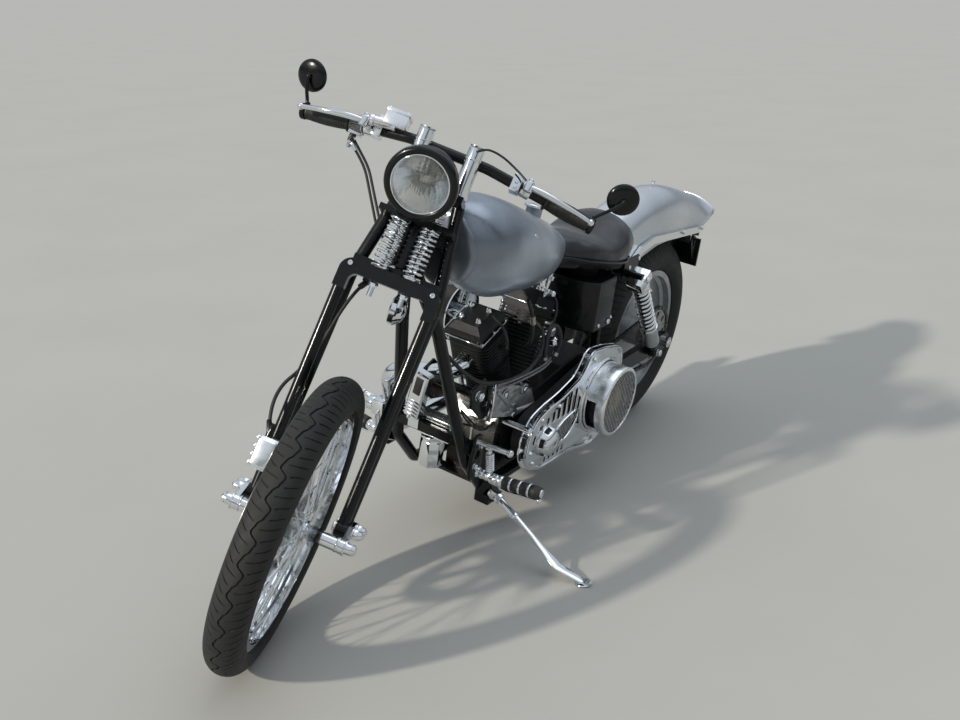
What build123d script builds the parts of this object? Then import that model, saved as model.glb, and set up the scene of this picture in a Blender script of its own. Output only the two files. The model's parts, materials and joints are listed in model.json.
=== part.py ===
from build123d import *
from math import sin, cos, tan, atan2, sqrt, radians, degrees, pi
import os
os.makedirs("parts", exist_ok=True)

# A chopper motorcycle with a springer fork, parked on its side stand with the bars turned left.
# Every piece is drawn with the machine upright: origin at the rear tyre's ground point,
# +X to the machine's left, +Y to its rear, +Z up. One placement at the end leans it on the stand.

# Stance
lean_angle = 9.2
steer_angle = 25.3
rake_angle = 30.5
wheelbase = 1696.0
axle_offset = 62.0

# Wheels
front_bead_radius = 266.7
front_tyre_height = 76.3
front_tyre_radius = front_bead_radius + front_tyre_height
front_tyre_half = 44.0
front_bead_half = 0.66 * front_tyre_half
front_toe_half = 0.32 * front_tyre_half
front_flange_radius = front_bead_radius + 12.3
rear_bead_radius = 203.2
rear_tyre_height = 118.3
rear_tyre_radius = rear_bead_radius + rear_tyre_height
rear_tyre_half = 63.5
rear_bead_half = 0.66 * rear_tyre_half
rear_toe_half = 0.38 * rear_tyre_half
rear_flange_radius = rear_bead_radius + 12.8
tyre_wall = 9.0
rim_wall = 5.0
spoke_count = 40
spoke_radius = 2.0
front_hub_half = 44.5
front_hub_radius = 31.0
front_hub_flange = 42.0
front_axle_radius = 9.5
rear_axle_radius = 10.0
bearing_gap = 0.6
front_rotor_radius = 146.0
front_rotor_x = -72.5
rotor_thickness = 5.0
rear_rotor_radius = 146.0

# Steering head, in millimetres up the steering axis from axle level
neck_low = 612.0
neck_high = 772.0
neck_radius = 25.0
stem_radius = 12.5
neck_bearing = stem_radius + 0.3
neck_bore = 15.0
crown_low = 585.0
crown_high = 607.0
crown_pocket = 72.0
perch_low = 714.0
perch_high = 728.0
tree_low = 790.0
tree_high = 806.0
tree_front = 60.0

# Springer fork
leg_x = 105.5
spring_leg_radius = 14.0
rigid_leg_radius = 15.0
spring_leg_p = 46.0
u_low = 560.0
u_high = 592.0
u_foot = 520.0
u_half = 119.5
u_thick = 26.0
spring_x = 36.0
spring_p = 41.0
spring_radius = 23.5
rebound_radius = 20.0
rod_radius = 6.0
rocker_x0 = 121.0
rocker_x1 = 131.0
rear_pivot = (-22.0, 34.0)
front_pivot = (20.0, 28.0)
pivot_bolt = 8.0

# Bars
bar_radius = 12.7
bar_clamp_p = -4.0
bar_clamp_q = 898.0
bar_end_x = 366.0
bar_end_p = -64.5
bar_end_q = 876.0
bar_bend_x = 95.0
riser_x = 60.6
riser_radius = 19.0
riser_top_q = 924.0
grip_radius = 17.5
lamp_radius = 79.0
lamp_reach = 205.0
lamp_drop = 19.0
lamp_depth = 118.0

# Engine, transmission and drive
crank_y = -815.0
crank_z = 270.0
main_y = -510.0
main_z = 308.0
v_half = 22.5
case_half = 72.0
barrel_radius = 50.0
fin_radius = 62.0
fin_pitch = 10.6
fin_thick = 3.2
head_shift = -14.0
head_half = 58.0
pushrod_radius = 7.5
pushrod_s = 70.0
pushrod_x = head_shift - head_half - pushrod_radius - 1.5
deck_s = 118.0
head_s = 238.0
rocker_s = 316.0
top_s = 384.0
guard_x0 = 146.0
guard_x1 = 168.0
guard_face = 7.0
belt_x0 = 98.0
belt_x1 = 142.0
clutch_face_x = 236.0
clutch_radius = 106.0
chain_x0 = 83.0
chain_x1 = 93.0
front_sprocket = 45.0
rear_sprocket = 95.0
chain_deep = 12.0

# Chassis
tube_radius = 16.0
backbone_radius = 19.0
arm_x0 = 112.0
arm_x1 = 134.0
swing_y = -370.0
swing_z = 325.0
shock_x = 150.0
shock_top = (-344.0, 632.0)
shock_foot = (-118.0, 325.0)
shock_radius = 27.0
mount_tube_y = -344.0
mount_tube_z = 632.0
fender_half = 90.0
fender_skin = 4.0

# Side stand
stand_pivot = (151.0, -1032.0, 192.0)
stand_knee = (392.0, -1078.0, 96.0)
stand_foot_x = 468.0
stand_foot_y = -1080.0
stand_radius = 10.0


def unit(v):
    return Vector(*v).normalized()


def rod(a, b, r):
    """Round bar from a to b."""
    a = Vector(*a)
    b = Vector(*b)
    place = Plane(origin=a, z_dir=(b - a))
    return place.location * Cylinder(r, (b - a).length, align=(Align.CENTER, Align.CENTER, Align.MIN))


def bent(points, r, bend):
    """Round bar through points with tangent arcs at the corners."""
    path = FilletPolyline(*points, radius=bend)
    face = Plane(origin=path @ 0, z_dir=path % 0) * Circle(r)
    return sweep(face, path=path)


def block(x0, x1, y0, y1, z0, z1):
    """Box between two corners."""
    lo = Align.MIN
    return Pos(min(x0, x1), min(y0, y1), min(z0, z1)) * Box(abs(x1 - x0), abs(y1 - y0), abs(z1 - z0), align=(lo, lo, lo))


def slab(points, x0, x1):
    """Plate cut to an outline of (y, z) points, thick from x0 to x1."""
    face = make_face(Polyline(*[(y, z) for y, z in points], close=True))
    return Pos(x0, 0, 0) * extrude(Plane.YZ * face, x1 - x0)


def disc(y, z, r, x0, x1):
    """Round plate on an axle line, thick from x0 to x1."""
    return Pos((x0 + x1) / 2, y, z) * Rot(0, 90, 0) * Cylinder(r, abs(x1 - x0))


def lathe(points):
    """Body turned about the X axis from (x, radius) points."""
    return revolve(make_face(Polyline(*points, close=True)), Axis.X, 360)


def strap(a, b, ra, rb, x0, x1):
    """Plate round two (y, z) centres, with straight tangent sides."""
    dy = b[0] - a[0]
    dz = b[1] - a[1]
    d = sqrt(dy * dy + dz * dz)
    base = atan2(dz, dy)
    side = atan2(sqrt(d * d - (ra - rb) ** 2), ra - rb)
    pts = []
    for s in (1, -1):
        for c, r in ((a, ra), (b, rb)):
            pts.append((c[0] + r * cos(base + s * side), c[1] + r * sin(base + s * side)))
    quad = slab([pts[0], pts[1], pts[3], pts[2]], x0, x1)
    return quad + disc(a[0], a[1], ra, x0, x1) + disc(b[0], b[1], rb, x0, x1)


# Tyres and wheels, drawn about the X axis
def tyre(radius, half, bead, bead_half, toe, flange):
    mid = radius - half
    groove = flange + 2.0
    out_x = sqrt(half ** 2 - (mid - groove) ** 2)
    inner = half - tyre_wall
    in_r = mid - sqrt(inner ** 2 - toe ** 2)
    edges = [
        Line((-bead_half, bead), (-bead_half, groove)),
        Line((-bead_half, groove), (-out_x, groove)),
        ThreePointArc((-out_x, groove), (0, radius), (out_x, groove)),
        Line((out_x, groove), (bead_half, groove)),
        Line((bead_half, groove), (bead_half, bead)),
        Line((bead_half, bead), (toe, bead)),
        Line((toe, bead), (toe, in_r)),
        ThreePointArc((toe, in_r), (0, mid + inner), (-toe, in_r)),
        Line((-toe, in_r), (-toe, bead)),
        Line((-toe, bead), (-bead_half, bead)),
    ]
    return revolve(make_face(Wire(edges)), Axis.X, 360)


def rim(bead, bead_half, toe, flange, well):
    w = rim_wall
    outer = bead_half + w + 1
    return lathe([
        (-bead_half, flange), (-bead_half, bead), (-toe, bead), (-toe + 6, well),
        (toe - 6, well), (toe, bead), (bead_half, bead), (bead_half, flange),
        (outer, flange), (outer, bead - w), (toe + 3, bead - w), (toe - 3, well - w),
        (-toe + 3, well - w), (-toe - 3, bead - w), (-outer, bead - w), (-outer, flange),
    ])


front_tyre_shape = tyre(front_tyre_radius, front_tyre_half, front_bead_radius,
                        front_bead_half, front_toe_half, front_flange_radius)
front_well = front_bead_radius - 10
front_rim_shape = rim(front_bead_radius, front_bead_half, front_toe_half, front_flange_radius, front_well)
hub_line = [
    (-front_hub_half, 20), (-front_hub_half, front_hub_flange), (-front_hub_half + 6, front_hub_flange),
    (-front_hub_half + 12, front_hub_radius), (front_hub_half - 18, front_hub_radius),
    (front_hub_half - 12, front_hub_flange), (front_hub_half - 6, front_hub_flange),
    (front_hub_half - 4, 24), (front_hub_half, 24), (front_hub_half, front_axle_radius + bearing_gap),
    (-front_hub_half - 20, front_axle_radius + bearing_gap), (-front_hub_half - 20, 20),
]
front_wheel_shape = front_rim_shape + lathe(hub_line)
spokes = []
for k in range(spoke_count):
    side = 1 if k % 2 else -1
    lace = radians(34) * (1 if (k // 2) % 2 else -1)
    turn = 2 * pi * k / spoke_count
    hub_x = side * (front_hub_half - 10)
    a = (hub_x, (front_hub_flange - 4) * cos(turn - lace), (front_hub_flange - 4) * sin(turn - lace))
    rim_r = front_well - rim_wall + 1.5
    b = (side * 6, rim_r * cos(turn), rim_r * sin(turn))
    spokes.append(rod(a, b, spoke_radius))
front_wheel_shape = front_wheel_shape + spokes
rotor_x0 = front_rotor_x - rotor_thickness / 2
rotor_x1 = front_rotor_x + rotor_thickness / 2
front_rotor_shape = lathe([(rotor_x0, 112), (rotor_x0, front_rotor_radius), (rotor_x1, front_rotor_radius), (rotor_x1, 112)])
front_rotor_shape += lathe([(rotor_x0, 20.0), (rotor_x0, 60), (rotor_x1, 60), (rotor_x1, 34), (-front_hub_half, 34), (-front_hub_half, 20.0)])
for k in range(6):
    front_rotor_shape += Rot(60 * k, 0, 0) * block(rotor_x0, rotor_x1, -11, 11, 50, 118)

rear_tyre_shape = tyre(rear_tyre_radius, rear_tyre_half, rear_bead_radius,
                       rear_bead_half, rear_toe_half, rear_flange_radius)
rear_well = rear_bead_radius - 12
rear_wheel_shape = rim(rear_bead_radius, rear_bead_half, rear_toe_half, rear_flange_radius, rear_well)
rear_wheel_shape += lathe([(-14, 40), (-14, rear_well - 3), (14, rear_well - 3), (14, 40)])
for k in range(9):
    rear_wheel_shape -= Rot(40 * k, 0, 0) * Pos(0, 0, 132) * Rot(0, 90, 0) * Cylinder(27, 60)
rear_wheel_shape += lathe([(-58, rear_axle_radius + bearing_gap), (-58, 46), (58, 46), (58, rear_axle_radius + bearing_gap)])
rear_sprocket_shape = lathe([(58, 30), (58, 60), (chain_x0, 60), (chain_x0, rear_sprocket), (chain_x1 - 4, rear_sprocket), (chain_x1 - 4, 30)])
rear_wheel_shape += lathe([(-58, 30), (-58, 60), (-83, 60), (-83, rear_rotor_radius), (-88, rear_rotor_radius), (-88, 30)])

# Steering frame: x to the left, p forward of the axis, q up it
rake = radians(rake_angle)
axis_dir = Vector(0, sin(rake), cos(rake))
ahead_dir = Vector(0, -cos(rake), sin(rake))
front_axle = Vector(0, -wheelbase, front_tyre_radius)
head_origin = front_axle - ahead_dir * axle_offset
head_place = Plane(origin=head_origin, x_dir=(1, 0, 0), z_dir=axis_dir).location
fork_place = head_place * Rot(0, 0, steer_angle)


def F(x, p, q):
    """Point in the steering frame."""
    return (x, -p, q)


def H(p, q):
    """Point on the machine's middle plane given along the straight-ahead steering frame."""
    v = head_origin + ahead_dir * p + axis_dir * q
    return (0, v.Y, v.Z)


def fblock(x0, x1, p0, p1, q0, q1):
    return block(x0, x1, -p0, -p1, q0, q1)


def fdisc(p, q, r, x0, x1):
    return disc(-p, q, r, x0, x1)


# Rigid fork: stem, crown, legs that close in above it, spring perch and top tree
rigid = rod(F(0, 0, crown_low), F(0, 0, tree_high + 14), stem_radius)
rigid += fblock(-leg_x, leg_x, -48, 17, crown_low, crown_high)
rigid -= fblock(-crown_pocket, crown_pocket, -60, -20, crown_low - 5, crown_high + 5)
rigid += fblock(-78, 78, -42, tree_front, tree_low, tree_high)
perch = fblock(-88, 88, -42, 66, perch_low, perch_high)
perch -= Pos(0, 0, perch_low) * Cylinder(neck_radius + 8, 80)
perch -= fblock(-53, 53, -60, 0, perch_low - 5, perch_high + 5)
rigid += perch
for s in (1, -1):
    leg = bent([F(s * leg_x, rear_pivot[0], rear_pivot[1]), F(s * leg_x, -34, 566), F(s * 66, -26, tree_low + 4)], rigid_leg_radius, 110)
    rigid += leg
    rigid += fdisc(rear_pivot[0], rear_pivot[1], 17, s * (leg_x - 13), s * rocker_x0)
for s in (1, -1):
    rigid -= fdisc(rear_pivot[0], rear_pivot[1], pivot_bolt, s * 80, s * 130)
    rigid -= rod(F(s * spring_x, spring_p, 700), F(s * spring_x, spring_p, 830), rod_radius)

# Spring fork: inverted U with front legs
face = make_face(Polyline((-u_half, u_foot), (-u_half, u_high), (u_half, u_high), (u_half, u_foot), close=True))
face = fillet([v for v in face.vertices() if v.Y > u_foot + 1], 30)
hole_half = leg_x - spring_leg_radius
hole = make_face(Polyline((-hole_half, u_foot - 5), (-hole_half, u_low), (hole_half, u_low), (hole_half, u_foot - 5), close=True))
hole = fillet([v for v in hole.vertices() if v.Y > u_foot], 18)
u_plate = extrude(Plane.XZ * (face - hole), u_thick / 2, both=True)
spring_fork = Pos(0, -spring_leg_p, 0) * u_plate
for s in (1, -1):
    spring_fork += rod(F(s * leg_x, front_pivot[0], front_pivot[1]), F(s * leg_x, spring_leg_p, u_foot + 20), spring_leg_radius - 0.8)
    spring_fork += fdisc(front_pivot[0], front_pivot[1], 17, s * (leg_x - 13), s * rocker_x0)
for s in (1, -1):
    spring_fork -= fdisc(front_pivot[0], front_pivot[1], pivot_bolt, s * 80, s * 130)
    spring_fork -= rod(F(s * spring_x, spring_p, 500), F(s * spring_x, spring_p, 640), rod_radius)
caliper_back = 42.0
spring_fork += fblock(-leg_x - 12, -leg_x + 12, 24, caliper_back, 95, 135)

# Fork springs on their rods, each spring a ribbed sleeve with one rib a coil
def ribbed(low, high, r, wire, turns):
    """Closed sleeve whose outline waves in and out once for every coil."""
    step = (high - low) / turns
    line = [(0, low), (r - wire, low)]
    for n in range(turns):
        line += [(r, low + (n + 0.3) * step), (r, low + (n + 0.7) * step), (r - wire, low + (n + 1) * step)]
    line.append((0, high))
    return revolve(Plane.XZ * make_face(Polyline(*line, close=True)), Axis.Z, 360)


fork_springs = {}
for s, side in ((1, "left"), (-1, "right")):
    x = s * spring_x
    body = rod(F(x, spring_p, u_low - 22), F(x, spring_p, tree_high + 6), rod_radius)
    body += Pos(x, -spring_p, 0) * ribbed(u_high, perch_low, spring_radius, 6, 11)
    body += Pos(x, -spring_p, 0) * ribbed(perch_high, tree_low, rebound_radius, 5, 5)
    body += rod(F(x, spring_p, u_low - 14), F(x, spring_p, u_low), 10)
    fork_springs[side] = body

# Rockers with pivot bolts and acorn nuts
rockers = {}
for s, side in ((1, "left"), (-1, "right")):
    a = (-rear_pivot[0], rear_pivot[1])
    b = (-front_pivot[0], front_pivot[1])
    c = (-axle_offset, 0)
    body = strap(a, b, 15, 15, s * rocker_x0, s * rocker_x1)
    body += strap(b, c, 15, 18, s * rocker_x0, s * rocker_x1)
    for p, q in (rear_pivot, front_pivot):
        body += fdisc(p, q, pivot_bolt, s * (leg_x - 13), s * rocker_x1)
        body += fdisc(p, q, 11, s * rocker_x1, s * (rocker_x1 + 14))
    body -= fdisc(axle_offset, 0, front_axle_radius, s * 100, s * 140)
    rockers[side] = body

front_axle_shape = fdisc(axle_offset, 0, front_axle_radius, -rocker_x1, rocker_x1)
acorn = [(0, 0), (0, 13), (16, 13), (22, 11), (27, 6), (28, 0)]
for s in (1, -1):
    front_axle_shape += Pos(s * rocker_x1, -axle_offset, 0) * lathe([(s * x, r) for x, r in acorn])
front_axle_shape += fdisc(axle_offset, 0, 17, front_hub_half + 1, rocker_x0)
front_axle_shape += fdisc(axle_offset, 0, 17, -(front_hub_half + 21 + 10.5), -rocker_x0)

# Risers and handlebar
bar_line = [F(-bar_end_x, bar_end_p, bar_end_q), F(-bar_bend_x, bar_clamp_p, bar_clamp_q),
            F(bar_bend_x, bar_clamp_p, bar_clamp_q), F(bar_end_x, bar_end_p, bar_end_q)]
handlebar = bent(bar_line, bar_radius, 80)
bar_dir = unit((bar_end_x - bar_bend_x, -(bar_end_p - bar_clamp_p), bar_end_q - bar_clamp_q))


def on_bar(x):
    """Point of the bar's centre line, out on its straight end, at a distance x to the left."""
    s = 1 if x > 0 else -1
    t = (abs(x) - bar_bend_x) / bar_dir.X
    return Vector(s * (bar_bend_x + bar_dir.X * t), -bar_clamp_p + bar_dir.Y * t, bar_clamp_q + bar_dir.Z * t)


def sleeve(x0, x1, r):
    """Round sleeve on the bar."""
    a = on_bar(x0)
    b = on_bar(x1)
    return rod(tuple(a), tuple(b), r) - rod(tuple(a), tuple(b), bar_radius)


risers = {}
for s, side in ((1, "left"), (-1, "right")):
    body = rod(F(s * riser_x, 12, tree_high), F(s * riser_x, 28, riser_top_q), riser_radius)
    body += rod(F(s * riser_x, -26, bar_clamp_q - 26), F(s * riser_x, -26, bar_clamp_q + 22), 11)
    body += fblock(s * (riser_x - 16), s * (riser_x + 16), -26, 20, bar_clamp_q - 20, bar_clamp_q + 16)
    body += rod(F(s * riser_x, 10, tree_high), F(s * riser_x, 12, tree_high + 14), 22)
    body -= rod(F(s * 20, bar_clamp_p, bar_clamp_q), F(s * 100, bar_clamp_p, bar_clamp_q), bar_radius)
    body -= fblock(0, s * 120, -60, 60, tree_high - 30, tree_high)
    risers[side] = body

grips = {}
levers = {}
mirrors = {}
mirror_x = {"left": 407, "right": 376}
for s, side in ((1, "left"), (-1, "right")):
    grips[side] = sleeve(s * 240, s * 352, grip_radius)
    hub = on_bar(s * 192)
    body = sleeve(s * 180, s * 204, 19)
    pivot = F(s * 200, 28, 888)
    body += rod((hub.X, hub.Y - 16, hub.Z), pivot, 9)
    tip = F(s * 357, -8, 873)
    body += rod(pivot, tip, 6.5)
    body += Pos(*tip) * Sphere(8.5)
    levers[side] = body
    clamp = on_bar(s * 359)
    body = sleeve(s * 353, s * 365, 18)
    glass = Vector(*F(s * mirror_x[side], -60, 960))
    body += rod((clamp.X, clamp.Y, clamp.Z + 14), tuple(glass), 4.5)
    body -= rod(tuple(on_bar(s * 340)), tuple(on_bar(s * 366)), bar_radius)
    face_dir = unit((0.25 * s, -cos(rake), -sin(rake)))
    body += Plane(origin=glass, z_dir=face_dir).location * Cylinder(38, 14)
    mirrors[side] = body
levers["right"] += fblock(-184, -130, -30, 22, 914, 950)
levers["right"] += rod(tuple(on_bar(-190) + Vector(0, 0, 14)), F(-176, -8, 918), 9)
levers["right"] -= handlebar
throttle = sleeve(-208, -238, 22) + rod(tuple(on_bar(-226) + Vector(0, 0, -18)), F(-226, -34, 846), 8)

# Headlamp, hollow, with its lug on the top tree
lamp_axis = Vector(0, -cos(rake), -sin(rake))
lamp_p = lamp_reach
lamp_q = tree_low - lamp_drop
lamp_face = Vector(*F(0, lamp_p, lamp_q))
lamp_place = Plane(origin=lamp_face, x_dir=(1, 0, 0), z_dir=lamp_axis).location
shell_line = [(0, 0), (lamp_radius, 0), (lamp_radius, -18), (lamp_radius - 5, -22), (lamp_radius - 8, -52),
              (54, -88), (24, -lamp_depth + 4), (0, -lamp_depth)]
bowl_line = [(0, 5), (64, 5), (64, -6), (lamp_radius - 8, -10), (lamp_radius - 13, -50), (48, -84), (20, -lamp_depth + 10), (0, -lamp_depth + 6)]
shell = revolve(Plane.XZ * make_face(Polyline(*shell_line, close=True)), Axis.Z, 360)
bowl = revolve(Plane.XZ * make_face(Polyline(*bowl_line, close=True)), Axis.Z, 360)
lamp_lug = fblock(-14, 14, tree_front, lamp_p - 0.8 * lamp_depth, tree_low + 1, tree_high - 1)
headlamp = lamp_place * shell
headlamp = headlamp + lamp_lug - lamp_place * bowl
lens = lamp_place * (Pos(0, 0, -3) * Cylinder(64, 5))

# Front brake
caliper = fblock(-127, -52, caliper_back, 98, 82, 160)
caliper -= Pos(0, -axle_offset, 0) * (Pos((-80.5 - 64.5) / 2, 0, 0) * Rot(0, 90, 0) * Cylinder(front_rotor_radius + 6, 16))
hose_radius = 4.0
hose = bent([F(-112, 78, 160), F(-150, 70, 240), F(-104, -2, 345), F(-82, 0, 520), F(-58, -10, 562)], hose_radius, 30)
hose -= caliper
union = fblock(-70, -46, -24, 4, 555, crown_low)
cable_a = bent([F(-226, -34, 847), F(-172, -44, 802), F(-86, -53, 672)], 3.2, 150)
cable_b = bent([F(-219, -37, 852), F(-165, -46, 807), F(-78, -53, 678)], 3.2, 150)
cable_clip = fblock(-97, -72, -57, -40, 668, 680) - rigid

# Horn under the crown
horn = Pos(0, 10, 524) * lathe([(14, 0), (14, 30), (18, 36), (30, 36), (34, 33), (44, 24), (49, 10), (49, 0)])
horn += fblock(20, 30, -20, 0, 545, crown_low)

# Main frame: neck, backbone and down tubes
neck = head_place * (rod((0, 0, neck_low), (0, 0, neck_high), neck_radius))
neck_core = rod((0, 0, neck_low - 5), (0, 0, neck_high + 5), neck_bearing)
neck_core += rod((0, 0, neck_low + 16), (0, 0, neck_high - 16), neck_bore)
neck_core = head_place * neck_core
spine_front = H(0, 690)
spine_rear = (0, -640, 715)
spine_slope = (spine_rear[2] - spine_front[2]) / (spine_rear[1] - spine_front[1])
spine_tilt = atan2(spine_front[2] - spine_rear[2], spine_rear[1] - spine_front[1])
tunnel_rise = 26.0
tunnel_half = 30.0


def spine_z(y):
    return spine_front[2] + spine_slope * (y - spine_front[1])


def roof_z(y):
    return spine_z(y) + tunnel_rise / cos(spine_tilt)


down_bend = (85, -1164, 440)
down_knee = (110, -1122, 300)
down_end = (105, -1130.4, 328)
frame_neck = rod(spine_front, spine_rear, backbone_radius)
gusset = [H(-10, 640)[1:], H(-10, 690)[1:], (-1130, 866), (-1195, 770)]
frame_neck += slab(gusset, -4, 4)
for s in (1, -1):
    down = bent([H(-4, 652), (s * 52, -1232, 680), (s * down_bend[0], down_bend[1], down_bend[2]), (s * down_end[0], down_end[1], down_end[2])], tube_radius, 90)
    frame_neck += down
    frame_neck += block(s * 98, s * 126.2, -1146, -1118, 338, 366)
frame_neck += block(-93, 93, -1154, -1138, 352, 378)
for y in (-1090, -760):
    frame_neck += slab([(y - 20, roof_z(y - 20)), (y + 20, roof_z(y + 20)), (y + 20, spine_z(y + 20)), (y - 20, spine_z(y - 20))], -22, 22)
frame_neck = frame_neck + neck - neck_core

# Cradle: lower rails, engine and gearbox mounts, rear uprights and swingarm pivot
bed_z = 150.0
rail_z = 178.0
upright_x = 60.0
frame_cradle = None
for s in (1, -1):
    rail = bent([(s * down_end[0], down_end[1], down_end[2]), (s * down_knee[0], down_knee[1], down_knee[2]),
                 (s * 110, -1034, 196), (s * 104, -930, rail_z), (s * 100, -430, rail_z), (s * upright_x, -374, 232), (s * upright_x, -374, 330), (s * upright_x, -396, 672)], tube_radius, 30)
    frame_cradle = rail if frame_cradle is None else frame_cradle + rail
for y0, y1 in ((-960, -925), (-730, -700), (-590, -480)):
    frame_cradle += block(-110, 110, y0, y1, bed_z - 8, bed_z)
    for s in (1, -1):
        frame_cradle += block(s * 92, s * 110, y0, y1, bed_z - 8, rail_z)
frame_cradle += disc(swing_y, swing_z, 20, -105, 105)
frame_cradle += block(-76, 76, -420, -396, 560, 590)
pivot_axis = unit((0.42, 0.06, 0.905))
pivot_plane = Plane(origin=stand_pivot, x_dir=(0.9, 0, -0.42), z_dir=pivot_axis)
stand_lug = block(108, 151, -1054, -1010, 160, 224)
stand_lug -= pivot_plane.location * Cylinder(26, 26)
for k in (1, -1):
    stand_lug += pivot_plane.location * Pos(0, 0, k * 16) * Cylinder(18, 6)
stand_lug += pivot_plane.location * Cylinder(6, 38)
frame_cradle += stand_lug
frame_cradle -= disc(swing_y, swing_z, 12, -120, 120)

# Rear frame: seat rails, seat shelf and the tube that takes shocks and struts
seat_drop = -0.1524


def seat_base(y):
    return 740 + seat_drop * (y + 650)


rail_end = (-396, 672)
frame_rear = disc(mount_tube_y, mount_tube_z, 12, -166, 166)
for s in (1, -1):
    frame_rear += bent([(s * 8, -646, 700), (s * upright_x, -590, 700), (s * upright_x, rail_end[0], rail_end[1] + 13.5), (s * upright_x, mount_tube_y, mount_tube_z)], 13, 14)
    frame_rear += block(s * 100, s * 106, mount_tube_y - 14, -262, mount_tube_z - 14, mount_tube_z + 40)
frame_rear += slab([(-610, seat_base(-610) - 0.05), (-390, seat_base(-390) - 0.05), (-390, 684), (-610, 700)], -56, 56)
frame_rear -= frame_cradle
frame_rear -= rod(spine_front, spine_rear, backbone_radius)

# Swingarm and rear axle
swingarm = disc(swing_y, swing_z, 12, -arm_x1, arm_x1)
for s in (1, -1):
    arm = strap((swing_y, swing_z), (0, rear_tyre_radius), 22, 30, s * arm_x0, s * arm_x1)
    arm += disc(swing_y, swing_z, 22, s * 105, s * arm_x0)
    arm += disc(shock_foot[0], shock_foot[1], 8, s * arm_x1, s * 165)
    swingarm += arm
swingarm -= disc(0, rear_tyre_radius, rear_axle_radius, -160, 160)
rear_axle = disc(0, rear_tyre_radius, rear_axle_radius, -arm_x1, arm_x1)
for s in (1, -1):
    rear_axle += disc(0, rear_tyre_radius, 18, s * arm_x1, s * (arm_x1 + 16))
    rear_axle += disc(0, rear_tyre_radius, 18, s * 59, s * arm_x0)

# Shocks
shock_dir = (Vector(0, *shock_top) - Vector(0, *shock_foot)).normalized()
shocks = {}
for s, side in ((1, "left"), (-1, "right")):
    x = s * shock_x
    top = Vector(x, *shock_top)
    foot = Vector(x, *shock_foot)
    body = rod(tuple(foot), tuple(top), 9)
    body += rod(tuple(foot + shock_dir * 62), tuple(top - shock_dir * 34), shock_radius)
    body += disc(shock_top[0], shock_top[1], 22, x - 12, x + 12)
    body += disc(shock_foot[0], shock_foot[1], 18, x - 12, x + 12)
    cap = Plane(origin=top, x_dir=(1, 0, 0), z_dir=shock_dir).location
    body += cap * (Pos(0, 0, -14) * Box(48, 64, 34))
    body -= disc(shock_top[0], shock_top[1], 12, x - 40, x + 40)
    body -= disc(shock_foot[0], shock_foot[1], 8, x - 40, x + 40)
    shocks[side] = body


# Lofted forms: every section has a flat base, two side arcs and a top arc
def section(y, zb, wb, w, zm, wt, zt, zc):
    edges = [
        Line((-wb, zb), (wb, zb)),
        ThreePointArc((wb, zb), (w, zm), (wt, zt)),
        ThreePointArc((wt, zt), (0, zc), (-wt, zt)),
        ThreePointArc((-wt, zt), (-w, zm), (-wb, zb)),
    ]
    place = Plane(origin=(0, y, 0), x_dir=(1, 0, 0), z_dir=(0, -1, 0))
    return place * make_face(Wire(edges))


# Columns: y, base z, base half width, half width, z of it, top half width, z of it, crown z
tank_rows = [
    (-1160, 776, 48, 92, 856, 54, 930, 952),
    (-1100, 738, 74, 132, 838, 88, 940, 972),
    (-1000, 718, 82, 142, 824, 94, 925, 957),
    (-860, 702, 74, 128, 794, 80, 880, 903),
    (-720, 700, 48, 86, 764, 50, 824, 842),
    (-612, 718, 18, 36, 750, 20, 776, 784),
]
fuel_tank = loft([section(*row) for row in tank_rows])
tunnel = slab([(-1360, roof_z(-1360)), (-560, roof_z(-560)), (-560, 600), (-1360, 600)], -tunnel_half, tunnel_half)
fuel_tank -= tunnel
fuel_tank += Pos(0, -760, 862) * Rot(-16, 0, 0) * Cylinder(22, 40)

seat_rows = [
    (-650, 715, 30, 50, 742, 36, 766, 774),
    (-569, 700, 88, 116, 730, 86, 768, 780),
    (-470, 676, 110, 138, 712, 108, 756, 770),
    (-390, 655, 112, 134, 700, 102, 768, 784),
    (-326, 648, 82, 112, 700, 72, 748, 764),
]
seat = loft([section(*row) for row in seat_rows])
seat -= slab([(-680, seat_base(-680)), (-300, seat_base(-300)), (-300, 600), (-680, 600)], -80, 80)
seat -= fuel_tank
seat -= frame_rear
seat = seat.solids().sort_by(SortBy.VOLUME)[-1]


def arch(y, w, zb, zs, zc):
    edges = [
        Line((-w, zb), (w, zb)),
        Line((w, zb), (w, zs)),
        ThreePointArc((w, zs), (0, zc), (-w, zs)),
        Line((-w, zs), (-w, zb)),
    ]
    place = Plane(origin=(0, y, 0), x_dir=(1, 0, 0), z_dir=(0, -1, 0))
    return place * make_face(Wire(edges))


# Columns: y, half width, edge z, shoulder z, crown z
fender_rows = [
    (-318, 90, 646, 705, 786),
    (-100, 90, 664, 742, 824),
    (60, 90, 664, 728, 808),
    (200, 90, 652, 692, 770),
    (300, 98, 690, 708, 742),
]
outer = loft([arch(*row) for row in fender_rows])
inner_rows = []
for y, w, zb, zs, zc in fender_rows:
    inner_rows.append((y, w - fender_skin, zb - 20, zs, zc - fender_skin))
inner_rows[0] = (-320,) + inner_rows[0][1:]
inner_rows[-1] = (302,) + inner_rows[-1][1:]
inner = loft([arch(*row) for row in inner_rows])
rear_fender = outer - inner

strut_line = [(-338, 652), (-300, 652), (-240, 690), (-150, 704), (205, 668), (205, 646), (-150, 680), (-228, 666), (-284, 634), (-338, 634)]
fender_strut = slab(strut_line, 90, 100) + slab(strut_line, -90, -100)
fender_strut += block(-100, 100, 205, 215, 634, 650)
fender_strut += block(-70, 70, 215, 262, 600, 606) + block(-88, 88, 262, 268, 512, 606)
fender_strut += block(-70, 70, 209, 215, 600, 640)
fender_strut -= outer
fender_strut -= disc(mount_tube_y, mount_tube_z, 12, -120, 120)
fender_strut -= seat

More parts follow.
